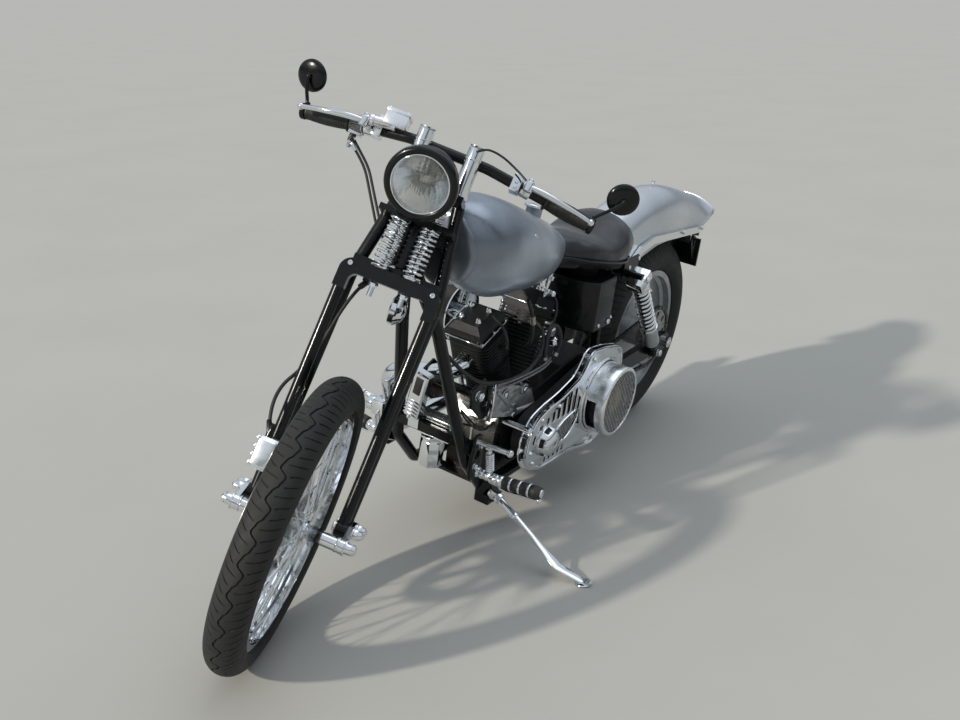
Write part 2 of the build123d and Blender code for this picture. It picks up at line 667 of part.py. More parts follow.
# Oil tank, eight-sided in plan
plan = [(80, -572), (130, -548), (130, -446), (90, -420), (-90, -420), (-130, -446), (-130, -548), (-80, -572)]
oil_tank = Pos(0, 0, 502) * extrude(make_face(Polyline(*plan, close=True)), 150)

# Engine
crankcase = disc(crank_y, crank_z, 116, -case_half, case_half)
crankcase += block(-case_half, case_half, -930, -690, bed_z, 262)
cylinders = {}
rocker_boxes = {}
pushrods = None
for k, end in ((-1, "front"), (1, "rear")):
    up_dir = unit((0, k * sin(radians(v_half)), cos(radians(v_half))))
    place = Plane(origin=(0, crank_y, crank_z), x_dir=(1, 0, 0), z_dir=up_dir).location
    cut = block(-200, 200, crank_y, crank_y - k * 300, 200, 800) if k == 1 else block(-200, 200, crank_y, crank_y + 300, 200, 800)
    deck = place * Pos(0, 0, (60 + deck_s) / 2) * Box(124, 112, deck_s - 60)
    crankcase += deck
    body = Pos(0, 0, (deck_s + rocker_s) / 2) * Cylinder(barrel_radius - 3, rocker_s - deck_s)
    for n in range(11):
        body += Pos(0, 0, deck_s + 12 + fin_pitch * n) * Cylinder(fin_radius, fin_thick)
    body += Pos(head_shift, 0, (head_s + rocker_s) / 2) * Box(84, 84, rocker_s - head_s)
    head_fin = extrude(fillet((Rectangle(2 * head_half, 2 * head_half)).vertices(), 24), fin_thick)
    for n in range(7):
        body += Pos(head_shift, 0, deck_s + 10.4 + fin_pitch * (11 + n)) * head_fin
    body = place * body
    body -= block(-200, 200, crank_y - 1.5, crank_y + 400, 200, 800) if k == -1 else block(-200, 200, crank_y - 400, crank_y + 1.5, 200, 800)
    cylinders[end] = body
    box = Pos(head_shift, 0, (rocker_s + top_s) / 2) * Box(100, 112, top_s - rocker_s)
    box = chamfer(box.faces().sort_by(Axis.Z)[-1].edges(), 16)
    box += Pos(head_shift - 10, 0, rocker_s + 22) * Box(132, 120, 6)
    rocker_boxes[end] = place * box
    for n in (-20, 20):
        tube = place * Pos(pushrod_x, n, pushrod_s) * Cylinder(pushrod_radius, rocker_s + 19 - pushrod_s, align=(Align.CENTER, Align.CENTER, Align.MIN))
        pushrods = tube if pushrods is None else pushrods + tube
for end in cylinders:
    cylinders[end] -= crankcase
cam_cover = strap((crank_y, crank_z + 8), (crank_y - 10, crank_z + 64), 78, 58, -case_half - 30, -case_half)
cam_cover += pushrods

carburettor = disc(crank_y, 548, 26, -150, -40)
carburettor += disc(crank_y, 548, 82, -196, -150)
carburettor += block(-60, -20, crank_y - 72, crank_y + 72, 526, 566)
for end in cylinders:
    carburettor -= cylinders[end]
    carburettor -= rocker_boxes[end]

# Gearbox and primary drive
gearbox = slab([(-600, bed_z), (-475, bed_z), (-425, 200), (-425, 395), (-600, 395)], -80, case_half)
gearbox += disc(main_y, main_z, 25, case_half, chain_x0)
gearbox += disc(main_y, main_z, front_sprocket, chain_x0, chain_x1)
plate_x1 = 80.0
guard_line = [(-921, 262), (-912, 315), (-885, 352), (-829, 370), (-751, 380), (-655, 407), (-604, 474), (-520, 464), (-423, 440),
              (-404, 400), (-398, 300), (-416, 220), (-466, 168), (-528, 150), (-580, 160), (-690, 183), (-770, 183), (-835, 187), (-890, 207), (-915, 236)]
primary_plate = strap((crank_y, crank_z), (main_y, main_z), 88, 100, case_half, plate_x1)
primary_plate += strap((-905, 330), (crank_y, crank_z), 14, 60, case_half, plate_x1)
primary_plate += strap((-440, 222), (main_y, main_z), 14, 60, case_half, plate_x1)
motor_boss = slab([(-1010, 372), (-1012, 468), (-992, 476), (-870, 434), (-790, 398), (-760, 340), (-860, 330)], case_half, 92)
primary_plate += chamfer(motor_boss.faces().sort_by(Axis.X)[-1].edges(), 8)
primary_plate -= disc(main_y, main_z, 25, 60, 90)
guard_posts = [(-905, 330), (-440, 222), (-662, 288)]
primary_guard = slab(guard_line, guard_x0, guard_x1)
guard_inside = offset(make_face(Polyline(*guard_line, close=True)), -7)
primary_guard -= Pos(guard_x0 - 1, 0, 0) * extrude(Plane.YZ * guard_inside, guard_x1 - guard_face - guard_x0 + 1)
primary_guard += disc(main_y, main_z, clutch_radius + 12, guard_x1 - guard_face, guard_x1)
for y, z in guard_posts:
    primary_guard += disc(y, z, 9, plate_x1, guard_x1 - guard_face)
primary_guard -= disc(crank_y, crank_z, 42, 140, 180)
primary_guard -= disc(main_y, main_z, clutch_radius + 2, 140, 180)
slot_count = 8
for n in range(slot_count):
    y = -812 + 21 * n
    primary_guard -= block(140, 180, y - 4.5, y + 4.5, 318 - n, 338 + 7.5 * n - (10 if n == 7 else 0))
for n in range(5):
    y = -800 + 24 * n
    primary_guard -= block(140, 180, y - 4.5, y + 4.5, 196, 218)
primary_guard -= disc(-712, 276, 30, 140, 180)
pulley_front = 62.0
pulley_rear = 88.0
belt_thick = 6.0
primary_belt = strap((crank_y, crank_z), (main_y, main_z), pulley_front + belt_thick, pulley_rear + belt_thick, belt_x0, belt_x1)
primary_belt -= strap((crank_y, crank_z), (main_y, main_z), pulley_front, pulley_rear, belt_x0 - 1, belt_x1 + 1)
primary_belt += disc(crank_y, crank_z, pulley_front, belt_x0, belt_x1)
primary_belt += disc(crank_y, crank_z, 24, plate_x1, belt_x0)
primary_belt += disc(crank_y, crank_z, 40, belt_x1, 184)
clutch = disc(main_y, main_z, 25, chain_x1, belt_x0)
clutch += disc(main_y, main_z, pulley_rear, belt_x0, belt_x1)
clutch += disc(main_y, main_z, clutch_radius, belt_x1 + 3, clutch_face_x)
clutch += disc(main_y, main_z, 60, belt_x1, belt_x1 + 3)
clutch -= disc(main_y, main_z, 92, clutch_face_x - 5, clutch_face_x + 5)
chain = strap((main_y, main_z), (0, rear_tyre_radius), front_sprocket + 1 + chain_deep, rear_sprocket + 1 + chain_deep, chain_x0, chain_x1 - 1)
chain -= strap((main_y, main_z), (0, rear_tyre_radius), front_sprocket, rear_sprocket + 1, chain_x0 - 5, chain_x1 + 5)

# Exhaust, two pipes on the right, open through their length
pipe_radius = 24.0
pipe_wall = 2.0
outlet_length = 60.0
pipe_x = -203.0


def port(k):
    """Exhaust port of a cylinder and the direction it faces."""
    out = Vector(0, k * cos(radians(v_half)), -sin(radians(v_half)))
    up_line = Vector(0, k * sin(radians(v_half)), cos(radians(v_half)))
    return Vector(head_shift - 4, crank_y, crank_z) + up_line * 272 + out * 42, out


def pipe(points, bend):
    """Solid pipe and the same pipe bored, with a clamp ring near its end."""
    line = [tuple(v) for v in points]
    outside = bent(line, pipe_radius, bend)
    end = Vector(*line[-1])
    back = (Vector(*line[-2]) - end).normalized()
    body = outside + rod(tuple(end + back * outlet_length), tuple(end + back * (outlet_length + 14)), pipe_radius + 4)
    return outside, body - bent(line, pipe_radius - pipe_wall, bend)


mouth, out = port(-1)
front_pipe = [mouth, mouth + out * 75, (-190, mouth.Y - 122, mouth.Z - 60), (-204, mouth.Y - 44, mouth.Z - 262), (pipe_x, -500, 232), (pipe_x, 120, 262)]
outside, exhaust = pipe(front_pipe, 55)
cylinders["front"] -= outside
mouth, out = port(1)
rear_pipe = [mouth, mouth + out * 60, (-165, mouth.Y + 40, mouth.Z - 60), (pipe_x, mouth.Y + 90, 318), (pipe_x, 90, 330)]
outside, second = pipe(rear_pipe, 45)
cylinders["rear"] -= outside
exhaust += second
exhaust += block(pipe_x - 4, pipe_x + 4, -300, -270, 262, 300)

# Hose from the front down tube, past the front cylinder, to the rear cylinder
oil_hose = bent([(64, -1188, 600), (86, -1110, 512), (100, -960, 466), (100, -810, 466), (94, -752, 560), (20, -728, 566)], 5, 40)
oil_hose -= cylinders["rear"]
oil_hose += block(60, 68, -1200, -1188, 588, 600) - frame_neck

# Cooler and filter low at the front
oil_cooler = block(-58, 58, -1138, -1096, 338, 392)
oil_cooler += Pos(0, -1119, 250) * Cylinder(33, 88, align=(Align.CENTER, Align.CENTER, Align.MIN))

# Regulator on its bracket ahead of the engine
regulator = Pos(-26, -1166, 458) * Rot(0, 11, 0) * Box(44, 30, 132)
regulator = chamfer(regulator.edges(), 4)
regulator -= Pos(-20, -1182, 488) * Rot(0, 11, 0) * Box(20, 8, 46)
regulator += block(-56, -24, -1158, -1154, 356, 404)

# Forward controls
controls = {}
for s, side in ((1, "left"), (-1, "right")):
    body = block(s * 126.2, s * 137, -1140, -1090, 262, 384)
    body += rod((s * 130, -1110, 280), (s * 205, -1110, 280), 11)
    body += rod((s * 205, -1108, 280), (s * 328, -1100, 290), 17)
    body += rod((s * 130, -1120, 368), (s * 240, -1120, 374), 7)
    body += rod((s * 178, -1110, 284), (s * 172, -1120, 368), 6)
    controls[side] = body
controls["right"] += block(-137, -198, -1165, -1120, 346, 390)

# Stance: the up direction, seen from the upright machine, that puts both tyres on the ground
lean = radians(lean_angle)
wheel_turn = (fork_place * Pos(1, 0, 0)).position - fork_place.position
front_centre = (fork_place * Pos(0, -axle_offset, 0)).position
rear_centre = Vector(0, 0, rear_tyre_radius)


def up_vector(pitch):
    return Vector(-sin(lean), cos(lean) * sin(pitch), cos(lean) * cos(pitch))


def contact(centre, axle, radius, half, up):
    tip = up.dot(axle)
    return centre.dot(up) - (radius - half) * sqrt(1 - tip * tip) - half


low = radians(-5)
high = radians(5)
for _ in range(60):
    pitch = (low + high) / 2
    up = up_vector(pitch)
    rise = contact(front_centre, wheel_turn, front_tyre_radius, front_tyre_half, up)
    rise -= contact(rear_centre, Vector(1, 0, 0), rear_tyre_radius, rear_tyre_half, up)
    if rise < 0:
        high = pitch
    else:
        low = pitch
ground = contact(rear_centre, Vector(1, 0, 0), rear_tyre_radius, rear_tyre_half, up)
level_y = (Vector(0, 1, 0) - up * up.Y).normalized()
level_x = level_y.cross(up)
stance = Plane(origin=(0, 0, -ground), x_dir=(level_x.X, level_y.X, up.X), z_dir=(level_x.Z, level_y.Z, up.Z)).location

# Side stand, long enough for the lean
foot_z = (ground + 4 - stand_foot_x * up.X - stand_foot_y * up.Y) / up.Z
foot = (stand_foot_x, stand_foot_y, foot_z)
side_stand = pivot_plane.location * Cylinder(18, 25.4)
side_stand += rod(stand_pivot, stand_knee, stand_radius)
side_stand += rod(stand_knee, foot, stand_radius)
side_stand += Pos(*stand_knee) * Sphere(stand_radius)
side_stand -= pivot_plane.location * Cylinder(6.6, 40)
pad_top = stance * Pos(*foot)
pad = Pos(pad_top.position.X, pad_top.position.Y, 0) * Cylinder(24, 9, align=(Align.CENTER, Align.CENTER, Align.MIN))
side_stand = side_stand - stance.inverse() * (Pos(pad_top.position.X, pad_top.position.Y, -50) * Box(300, 300, 100))
side_stand += stance.inverse() * pad

upright = {
    "front_tyre": fork_place * Pos(0, -axle_offset, 0) * front_tyre_shape,
    "front_wheel": fork_place * Pos(0, -axle_offset, 0) * front_wheel_shape,
    "front_rotor": fork_place * Pos(0, -axle_offset, 0) * front_rotor_shape,
    "rigid_fork": fork_place * rigid,
    "spring_fork": fork_place * spring_fork,
    "fork_spring_left": fork_place * fork_springs["left"],
    "fork_spring_right": fork_place * fork_springs["right"],
    "fork_rocker_left": fork_place * rockers["left"],
    "fork_rocker_right": fork_place * rockers["right"],
    "front_axle": fork_place * front_axle_shape,
    "handlebar": fork_place * handlebar,
    "riser_left": fork_place * risers["left"],
    "riser_right": fork_place * risers["right"],
    "grip_left": fork_place * grips["left"],
    "grip_right": fork_place * grips["right"],
    "clutch_lever": fork_place * levers["left"],
    "brake_lever": fork_place * levers["right"],
    "mirror_left": fork_place * mirrors["left"],
    "mirror_right": fork_place * mirrors["right"],
    "throttle": fork_place * (throttle + cable_a + cable_b + cable_clip),
    "headlamp": fork_place * headlamp,
    "headlamp_lens": fork_place * lens,
    "caliper": fork_place * caliper,
    "brake_hose": fork_place * (hose + union),
    "frame_neck": frame_neck,
    "rear_tyre": Pos(0, 0, rear_tyre_radius) * rear_tyre_shape,
    "rear_wheel": Pos(0, 0, rear_tyre_radius) * rear_wheel_shape,
    "rear_sprocket": Pos(0, 0, rear_tyre_radius) * rear_sprocket_shape,
    "horn": fork_place * horn,
    "frame_cradle": frame_cradle,
    "frame_rear": frame_rear,
    "swingarm": swingarm,
    "rear_axle": rear_axle,
    "shock_left": shocks["left"],
    "shock_right": shocks["right"],
    "fuel_tank": fuel_tank,
    "seat": seat,
    "rear_fender": rear_fender,
    "fender_strut": fender_strut,
    "oil_tank": oil_tank,
    "crankcase": crankcase,
    "front_cylinder": cylinders["front"],
    "rear_cylinder": cylinders["rear"],
    "front_rocker_box": rocker_boxes["front"],
    "rear_rocker_box": rocker_boxes["rear"],
    "cam_cover": cam_cover,
    "carburettor": carburettor,
    "gearbox": gearbox,
    "primary_plate": primary_plate,
    "primary_guard": primary_guard,
    "primary_belt": primary_belt,
    "clutch": clutch,
    "chain": chain,
    "exhaust": exhaust,
    "oil_cooler": oil_cooler,
    "oil_hose": oil_hose,
    "regulator": regulator,
    "control_left": controls["left"],
    "control_right": controls["right"],
    "side_stand": side_stand,
}

placed = {name: stance * shape for name, shape in upright.items()}
boxes = [shape.bounding_box() for shape in placed.values()]
x_min = min(b.min.X for b in boxes)
x_max = max(b.max.X for b in boxes)
y_min = min(b.min.Y for b in boxes)
y_max = max(b.max.Y for b in boxes)
z_min = min(b.min.Z for b in boxes)
shift = Pos(-(x_min + x_max) / 2, -(y_min + y_max) / 2, -z_min)
pieces = {name: shift * shape for name, shape in placed.items()}
for name, shape in pieces.items():
    export_step(shape, "parts/" + name + ".step")
    print(name, len(shape.solids()), shape.is_valid, round(shape.volume / 1000), "cm3")
print("ground", ground, "pitch", degrees(pitch), "box", x_min, x_max, y_min, y_max, z_min)
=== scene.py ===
# %% [markdown]
# # A springer-fork chopper, dressed around its CAD frame
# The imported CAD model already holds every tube, casting and wheel at its real size. This lesson
# adds what a CAD model leaves out: tyre tread, spring coils, a padded seat, chain links, bolts
# and surface finishes. We load the frame first, because each new piece is placed from it.

# %% Load the frame
import bpy, bmesh, json
from cmath import phase, rect
from math import sin, cos, atan2, sqrt, radians, pi, tanh, acos, hypot
from mathutils import Matrix, Vector


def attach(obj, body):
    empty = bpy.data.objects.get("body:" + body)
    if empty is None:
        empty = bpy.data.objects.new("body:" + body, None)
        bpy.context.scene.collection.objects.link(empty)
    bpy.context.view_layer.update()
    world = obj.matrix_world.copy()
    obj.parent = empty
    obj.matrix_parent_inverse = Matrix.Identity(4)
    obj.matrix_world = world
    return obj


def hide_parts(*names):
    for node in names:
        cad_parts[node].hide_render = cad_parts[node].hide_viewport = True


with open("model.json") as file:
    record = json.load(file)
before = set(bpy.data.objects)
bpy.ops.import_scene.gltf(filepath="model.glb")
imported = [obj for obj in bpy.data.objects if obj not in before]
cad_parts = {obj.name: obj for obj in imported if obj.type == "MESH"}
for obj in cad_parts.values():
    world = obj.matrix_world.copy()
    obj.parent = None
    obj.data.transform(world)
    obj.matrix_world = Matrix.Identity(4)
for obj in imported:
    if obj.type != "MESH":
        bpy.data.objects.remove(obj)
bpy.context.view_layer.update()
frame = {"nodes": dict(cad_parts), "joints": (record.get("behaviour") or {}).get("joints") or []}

# %% [markdown]
# ## Two drawing boards
# A motorcycle is easiest to draw upright, in millimetres, with the fork pointing straight ahead.
# The parked one leans on its stand with the bars turned. Each joint in the record carries a point
# and an axis, so two matrices take upright drawings into the leaning pose with no measuring.

# %% Boards for the chassis and for the fork
MM = 0.001
LEFT, RIGHT, UP, AHEAD, BACK = (1, 0, 0), (-1, 0, 0), (0, 0, 1), (0, -1, 0), (0, 1, 0)
RAKE = radians(30.5)
REAR_TYRE_RADIUS = 321.5
AXLE_OFFSET = 62.0
joints = {j["name"]: (Vector(j["pos_m"]), Vector(j["axis"]).normalized()) for j in frame["joints"]}


def board(x_axis, y_axis, z_axis, origin):
    """Matrix from a drawing in millimetres to the row frame in metres."""
    turn = Matrix((x_axis, y_axis, z_axis)).transposed().to_4x4()
    return Matrix.Translation(origin) @ turn @ Matrix.Scale(MM, 4)


rear_centre, left = joints["rear_wheel_spin"]
front_centre, fork_left = joints["front_wheel_spin"]
stem = joints["steering"][1]
up = stem * cos(RAKE) + left.cross(stem) * sin(RAKE)
back = up.cross(left)
CHASSIS = board(left, back, up, rear_centre - up * REAR_TYRE_RADIUS * MM)
fork_back = stem.cross(fork_left)
FORK = board(fork_left, fork_back, stem, front_centre + fork_back * AXLE_OFFSET * MM)
REAR_HUB = board(left, back, up, rear_centre)
FRONT_HUB = board(fork_left, fork_back, stem, front_centre)
print("lean in degrees", round(acos(up.z) * 180 / pi, 2))

# %% [markdown]
# ## The camera
# The photographer stood to the front left, a little above the bars. The lens is written as a focal
# length in pixels of the 960 pixel wide picture, which turns into millimetres on a 36 mm sensor.

# %% Camera at the photographer's place
FOCAL_PX = 1139.8
IMAGE_WIDTH = 960
SENSOR = 36.0
YAW, PITCH, ROLL = radians(33.93), radians(-18.61), radians(-0.83)
FROM_REAR_AXLE = Vector((1.6257, -3.3108, 1.1269))

swing = Matrix.Rotation(YAW, 3, "Z") @ Matrix.Rotation(PITCH, 3, "X")
look = swing @ Vector((0, 1, 0))
right = swing @ Vector((cos(ROLL), 0, sin(ROLL)))
above = swing @ Vector((-sin(ROLL), 0, cos(ROLL)))
camera_data = bpy.data.cameras.new("camera")
camera_data.sensor_width = SENSOR
camera_data.lens = FOCAL_PX * SENSOR / IMAGE_WIDTH
camera_data.clip_end = 500
camera = bpy.data.objects.new("camera", camera_data)
facing = Matrix((right, above, -look)).transposed().to_4x4()
camera.matrix_world = Matrix.Translation(rear_centre + FROM_REAR_AXLE) @ facing
bpy.context.scene.collection.objects.link(camera)
bpy.context.scene.camera = camera
print("lens", round(camera_data.lens, 2), "mm")

# %% [markdown]
# ## Node helpers and colours
# Colours are picked as sRGB hex values, as on a paint chart, and Blender shades in linear light, so
# one function converts them. One more adds a node with its settings and links. Most finishes need
# the same three grains, one for colour, one for roughness and one for relief, so the last function
# here takes them as a recipe.

# %% Colour and node helpers
def colour(code):
    """Linear RGBA of an sRGB hex value."""
    channels = [((code >> s) & 255) / 255 for s in (16, 8, 0)]
    return tuple(c / 12.92 if c <= 0.04045 else ((c + 0.055) / 1.055) ** 2.4 for c in channels) + (1.0,)


def node(tree, kind, sockets=None, **settings):
    """Adds a node: settings are its options, sockets its values or the outputs that feed it."""
    made = tree.nodes.new("ShaderNode" + kind)
    for key, value in settings.items():
        setattr(made, key, value)
    for key, value in (sockets or {}).items():
        if isinstance(value, bpy.types.NodeSocket):
            tree.links.new(value, made.inputs[key])
        else:
            made.inputs[key].default_value = value
    return made


def finish(name, **values):
    """A new material with its shader's own values set. Returns the material, its tree and shader."""
    made = bpy.data.materials.new(name)
    made.use_nodes = True
    shader = made.node_tree.nodes["Principled BSDF"]
    for key, value in values.items():
        shader.inputs[key.replace("_", " ")].default_value = value
    return made, made.node_tree, shader


def grain(tree, size_mm, detail=2.0, rough=0.5, kind="TexNoise"):
    """Output of a noise whose features are about size_mm across."""
    place = node(tree, "TexCoord").outputs["Object"]
    return node(
        tree, kind, {"Vector": place, "Scale": 1 / (size_mm * MM), "Detail": detail, "Roughness": rough})


def spread(tree, value, low, high, start=0.3, end=0.7):
    """Maps a noise value from start to end on to low to high."""
    return node(tree, "MapRange", {0: value, 1: start, 2: end, 3: low, 4: high}).outputs[0]


def blend_colours(tree, value, first, second, start=0.3, end=0.7):
    """Mixes two hex colours by a noise value."""
    share = spread(tree, value, 0.0, 1.0, start, end)
    return node(tree, "Mix", {0: share, 6: colour(first), 7: colour(second)}, data_type="RGBA").outputs[2]


def emboss(tree, shader, height, depth_mm, strength=1.0):
    """Bump from a height value, depth_mm deep."""
    bump = node(tree, "Bump", {"Height": height, "Distance": depth_mm * MM, "Strength": strength})
    tree.links.new(bump.outputs[0], shader.inputs["Normal"])


def textured(name, tint=None, rough=None, bump=None, mix=(0.3, 0.7), **values):
    """A finish from grains. tint is (grain, two hex colours), rough is (grain, least, most) and bump
    is (grain, depth in mm, strength). A grain is its size in mm and its detail."""
    made, tree, shader = finish(name, **values)
    if tint:
        mixed = blend_colours(tree, grain(tree, *tint[0]).outputs[0], *tint[1:], *mix)
        tree.links.new(mixed, shader.inputs["Base Color"])
    if rough:
        tree.links.new(
            spread(tree, grain(tree, *rough[0]).outputs[0], *rough[1:]), shader.inputs["Roughness"])
    if bump:
        emboss(tree, shader, grain(tree, *bump[0]).outputs[0], *bump[1:])
    return made


print("helpers ready")

# %% [markdown]
# ## Chrome plate and bare metals
# Bright chrome is copper and nickel under a thin chromium layer, polished to a mirror: nearly all
# of its look is what it reflects. Only faint wiping smears break it, so its roughness varies a
# little at the size of a fingertip. Aluminium castings are warmer and duller, and their sand
# texture is drawn at 1.5 mm, coarser than real foundry sand, so that it shows.

# %% Chrome, aluminium and steel
# A sharp mirror with faint smears
chrome = textured("bright_chrome_plate", rough=((18, 3), 0.03, 0.09), bump=((45, 1), 0.25, 0.35),
                  Base_Color=colour(0xE4E7EA), Metallic=1.0)
# Hand polish leaves a warm, slightly wavy shine
polished = textured("hand_polished_aluminium", ((30, 3), 0xC4C0B8, 0xDAD6CE), ((12, 3), 0.15, 0.24),
                    ((60, 2), 0.15, 0.3), Metallic=1.0)
# The same plate over a blasted surface, bright with soft edges to what it mirrors
satin_chrome = textured("satin_chrome_plate", rough=((16, 3), 0.2, 0.3), bump=((30, 1), 0.1, 0.3),
                        Base_Color=colour(0xF2F4F6), Metallic=1.0)
# Dull grey with a sandy skin
sand_cast = textured("sand_cast_aluminium", ((14, 4), 0x8C8E8E, 0xB4B6B6), ((3, 3), 0.32, 0.48),
                     ((1.5, 2), 0.35), Metallic=0.85)
# Lacquer over the casting gives a weak second shine
wheel_silver = textured("silver_lacquered_casting", ((60, 3), 0x9EA1A3, 0xB7BABB), ((8, 3), 0.26, 0.4),
                        ((2.0, 2), 0.12), Metallic=0.8, Coat_Weight=0.3, Coat_Roughness=0.15)
# Greyer and more uneven than chrome
steel = textured("zinc_plated_steel", ((6, 3), 0x8F8F8C, 0xB4B4B0), ((4, 3), 0.22, 0.45),
                 ((1.2, 2), 0.05), Metallic=1.0)
# Dark oil film with worn bright spots
oiled_steel = textured("oiled_chain_steel", ((9, 4), 0x2B2926, 0x6E6C67), ((3, 3), 0.25, 0.5), Metallic=0.9)
# Dull gold behind the wire mesh
bronze = textured("sintered_bronze_plate", ((7, 3), 0x6B5A34, 0x9A854F), ((3, 3), 0.3, 0.5), Metallic=1.0)

# The case is bright above its middle and darker below it, by height in metres: painted shade on the lower
# case
SHADE_LINE = (0.24, 0.36)
case_metal_painted_shade, tree, shader = finish("case_casting_painted_shade", Metallic=0.9)
depth = node(tree, "SeparateXYZ", {"Vector": node(tree, "TexCoord").outputs["Object"]}).outputs["Z"]
# The dark colour below the line is painted shade, not a colour of the metal
tree.links.new(blend_colours(tree, depth, 0x2A2927, 0xC9C5BD, *SHADE_LINE), shader.inputs["Base Color"])
tree.links.new(spread(tree, grain(tree, 10, 3).outputs[0], 0.2, 0.36), shader.inputs["Roughness"])
emboss(tree, shader, grain(tree, 1.6, 2).outputs[0], 0.15)
print("materials so far", len(bpy.data.materials))

# %% [markdown]
# ## Paint, primer and rubber
# The fork and frame wear satin black enamel, the engine fins a thinner black heat paint. The tank
# and fender are in rubbed grey primer: a thin, half-metallic film with darker patches a hand wide
# where it was sanded through. Rubber is a rough dark grey, never pure black, with road dust on it.

# %% Paints, primer and rubber
# Deep black with a narrow soft highlight along each tube
enamel = textured("satin_black_enamel", ((30, 4), 0x08090A, 0x0F1113), ((12, 3), 0.18, 0.28),
                  ((2.2, 2), 0.05), Specular_IOR_Level=0.25, Coat_Weight=0.12, Coat_Roughness=0.08)
# Flat black that shows the fins by their shadows alone
fin_paint = textured("black_heat_paint", ((10, 4), 0x0D0E0F, 0x191A1B), ((5, 3), 0.5, 0.62),
                     ((1.4, 2), 0.15), Specular_IOR_Level=0.3)


def primer(name, light, dark, patch_mm):
    """Rubbed primer in two greys, with patches patch_mm across."""
    made, tree, shader = finish(name, Metallic=0.62, Coat_Weight=0.2, Coat_Roughness=0.2)
    patches = grain(tree, patch_mm, 2, 0.45).outputs[0]
    scuffs = spread(tree, grain(tree, 14, 3).outputs[0], -0.012, 0.012)
    rubbed = node(tree, "Math", {0: patches, 1: scuffs}, operation="ADD").outputs[0]
    tree.links.new(blend_colours(tree, rubbed, light, dark, 0.36, 0.66), shader.inputs["Base Color"])
    tree.links.new(spread(tree, rubbed, 0.24, 0.33), shader.inputs["Roughness"])
    emboss(tree, shader, grain(tree, 1.5, 2).outputs[0], 0.04)
    return made


# Cloudy silver on the tank, and a paler and more even coat on the fender
tank_primer = primer("rubbed_grey_primer", 0xBBC6D3, 0x7C848E, 260)
fender_primer = primer("light_grey_primer", 0xCBD0D5, 0xB4BABF, 320)

# Dusty and matt, so only its grooves draw it
tread_rubber = textured("vulcanised_tyre_rubber", ((26, 5, 0.6), 0x151615, 0x242523),
                        ((26, 5, 0.6), 0.6, 0.85), ((1.3, 3), 0.2), mix=(0.4, 0.75))
# Moulded rubber is a little smoother than a tyre
rubber = textured(
    "moulded_black_rubber", ((12, 3), 0x131313, 0x222221), ((4, 3), 0.45, 0.65), ((0.9, 2), 0.06))
# Bright and dark specks that read as woven wire
braid = textured("steel_braided_hose", ((1.6, 1, 0.5), 0x2E2F31, 0x9FA1A3), bump=((1.6, 1), 0.2),
                 mix=(0.4, 0.6), Metallic=0.8, Roughness=0.35)
print("materials so far", len(bpy.data.materials))

# %% [markdown]
# ## Seat vinyl and lamp glass
# The solo seat is smooth automotive vinyl. Its embossed grain has pebbles of about 1.4 mm, and the
# stretched cover has slow waves in its shine. The lamp has pressed clear glass in front of an
# aluminised reflector, and the mirrors are silvered flat glass.

# %% Vinyl, glass and reflector
# Blue-black with a broad soft shine that the pebbles break up
PEBBLE_MM = 1.4
vinyl, tree, shader = finish("embossed_seat_vinyl", Sheen_Weight=0.15, Sheen_Roughness=0.4)
tree.links.new(
    blend_colours(tree, grain(tree, 40, 3).outputs[0], 0x171A1F, 0x20252C), shader.inputs["Base Color"])
tree.links.new(spread(tree, grain(tree, 15, 3).outputs[0], 0.3, 0.4), shader.inputs["Roughness"])
place = node(tree, "TexCoord").outputs["Object"]
pebble = node(tree, "TexVoronoi", {"Vector": place, "Scale": 1 / (PEBBLE_MM * MM)}, feature="SMOOTH_F1")
emboss(tree, shader, pebble.outputs["Distance"], 0.12, 0.7)

# Clear, with a faint wave from the press
glass = textured("pressed_lamp_glass", bump=((12, 1), 0.1, 0.3), Base_Color=colour(0xFFFFFF),
                 Roughness=0.02, IOR=1.5, Transmission_Weight=1.0)
# A soft mirror that gathers the light behind the glass
reflector = textured(
    "aluminised_reflector", rough=((14, 2), 0.14, 0.24), Base_Color=colour(0xE2E5E5), Metallic=1.0)
# The sharpest mirror of all
silvered = textured(
    "silvered_mirror_glass", rough=((20, 2), 0.01, 0.04), Base_Color=colour(0xE6EAEC), Metallic=1.0)
print("materials in all", len(bpy.data.materials))

# %% [markdown]
# ## Meshes from short recipes
# Machine parts are mostly turned, swept or cut from plate. A drawing here is a pair of lists,
# points and faces, in millimetres, so small drawings can be turned, moved and joined before they
# become one Blender object. Turning works about the drawing's own Z axis, as on a lathe.

# %% Turning and sweeping
def grid(rows, across, ring_rows=False, ring_across=False):
    """Faces between points that are listed row by row. Rows or columns can close in a ring."""
    faces = []
    for i in range(rows if ring_rows else rows - 1):
        a, b = i * across, (i + 1) % rows * across
        for j in range(across if ring_across else across - 1):
            k = (j + 1) % across
            faces.append((a + j, a + k, b + k, b + j))
    return faces


def turned(profile, steps=48):
    """A lathe shape from (height, radius) points, turned about Z."""
    points = [(a * r, b * r, h) for a, b in ring(1, steps) for h, r in profile]
    return points, grid(steps, len(profile), True)


def swept(path, section, closed=False, scales=None, lift=None):
    """A flat section carried along a path without twisting. scales resizes it at each point."""
    path = [Vector(p) for p in path]
    count = len(path)
    aims = []
    for i in range(count):
        ahead = path[(i + 1) % count] if closed or i < count - 1 else path[i]
        behind = path[i - 1] if closed or i > 0 else path[i]
        aims.append((ahead - behind).normalized())
    side = Vector(lift) if lift else aims[0].orthogonal()
    loops = []
    for i, aim in enumerate(aims):
        side = (side - aim * side.dot(aim)).normalized()
        other = aim.cross(side)
        wide, high = scales[i] if scales else (1, 1)
        loops.append([path[i] + side * u * wide + other * v * high for u, v in section])
    return skinned(loops, () if closed else (0, -1), closed)


def polar(radius, angle):
    """Flat point at a radius and an angle in radians."""
    return radius * cos(angle), radius * sin(angle)


def ring(radius, sides=12):
    """A round section."""
    return [polar(radius, 2 * pi * k / sides) for k in range(sides)]


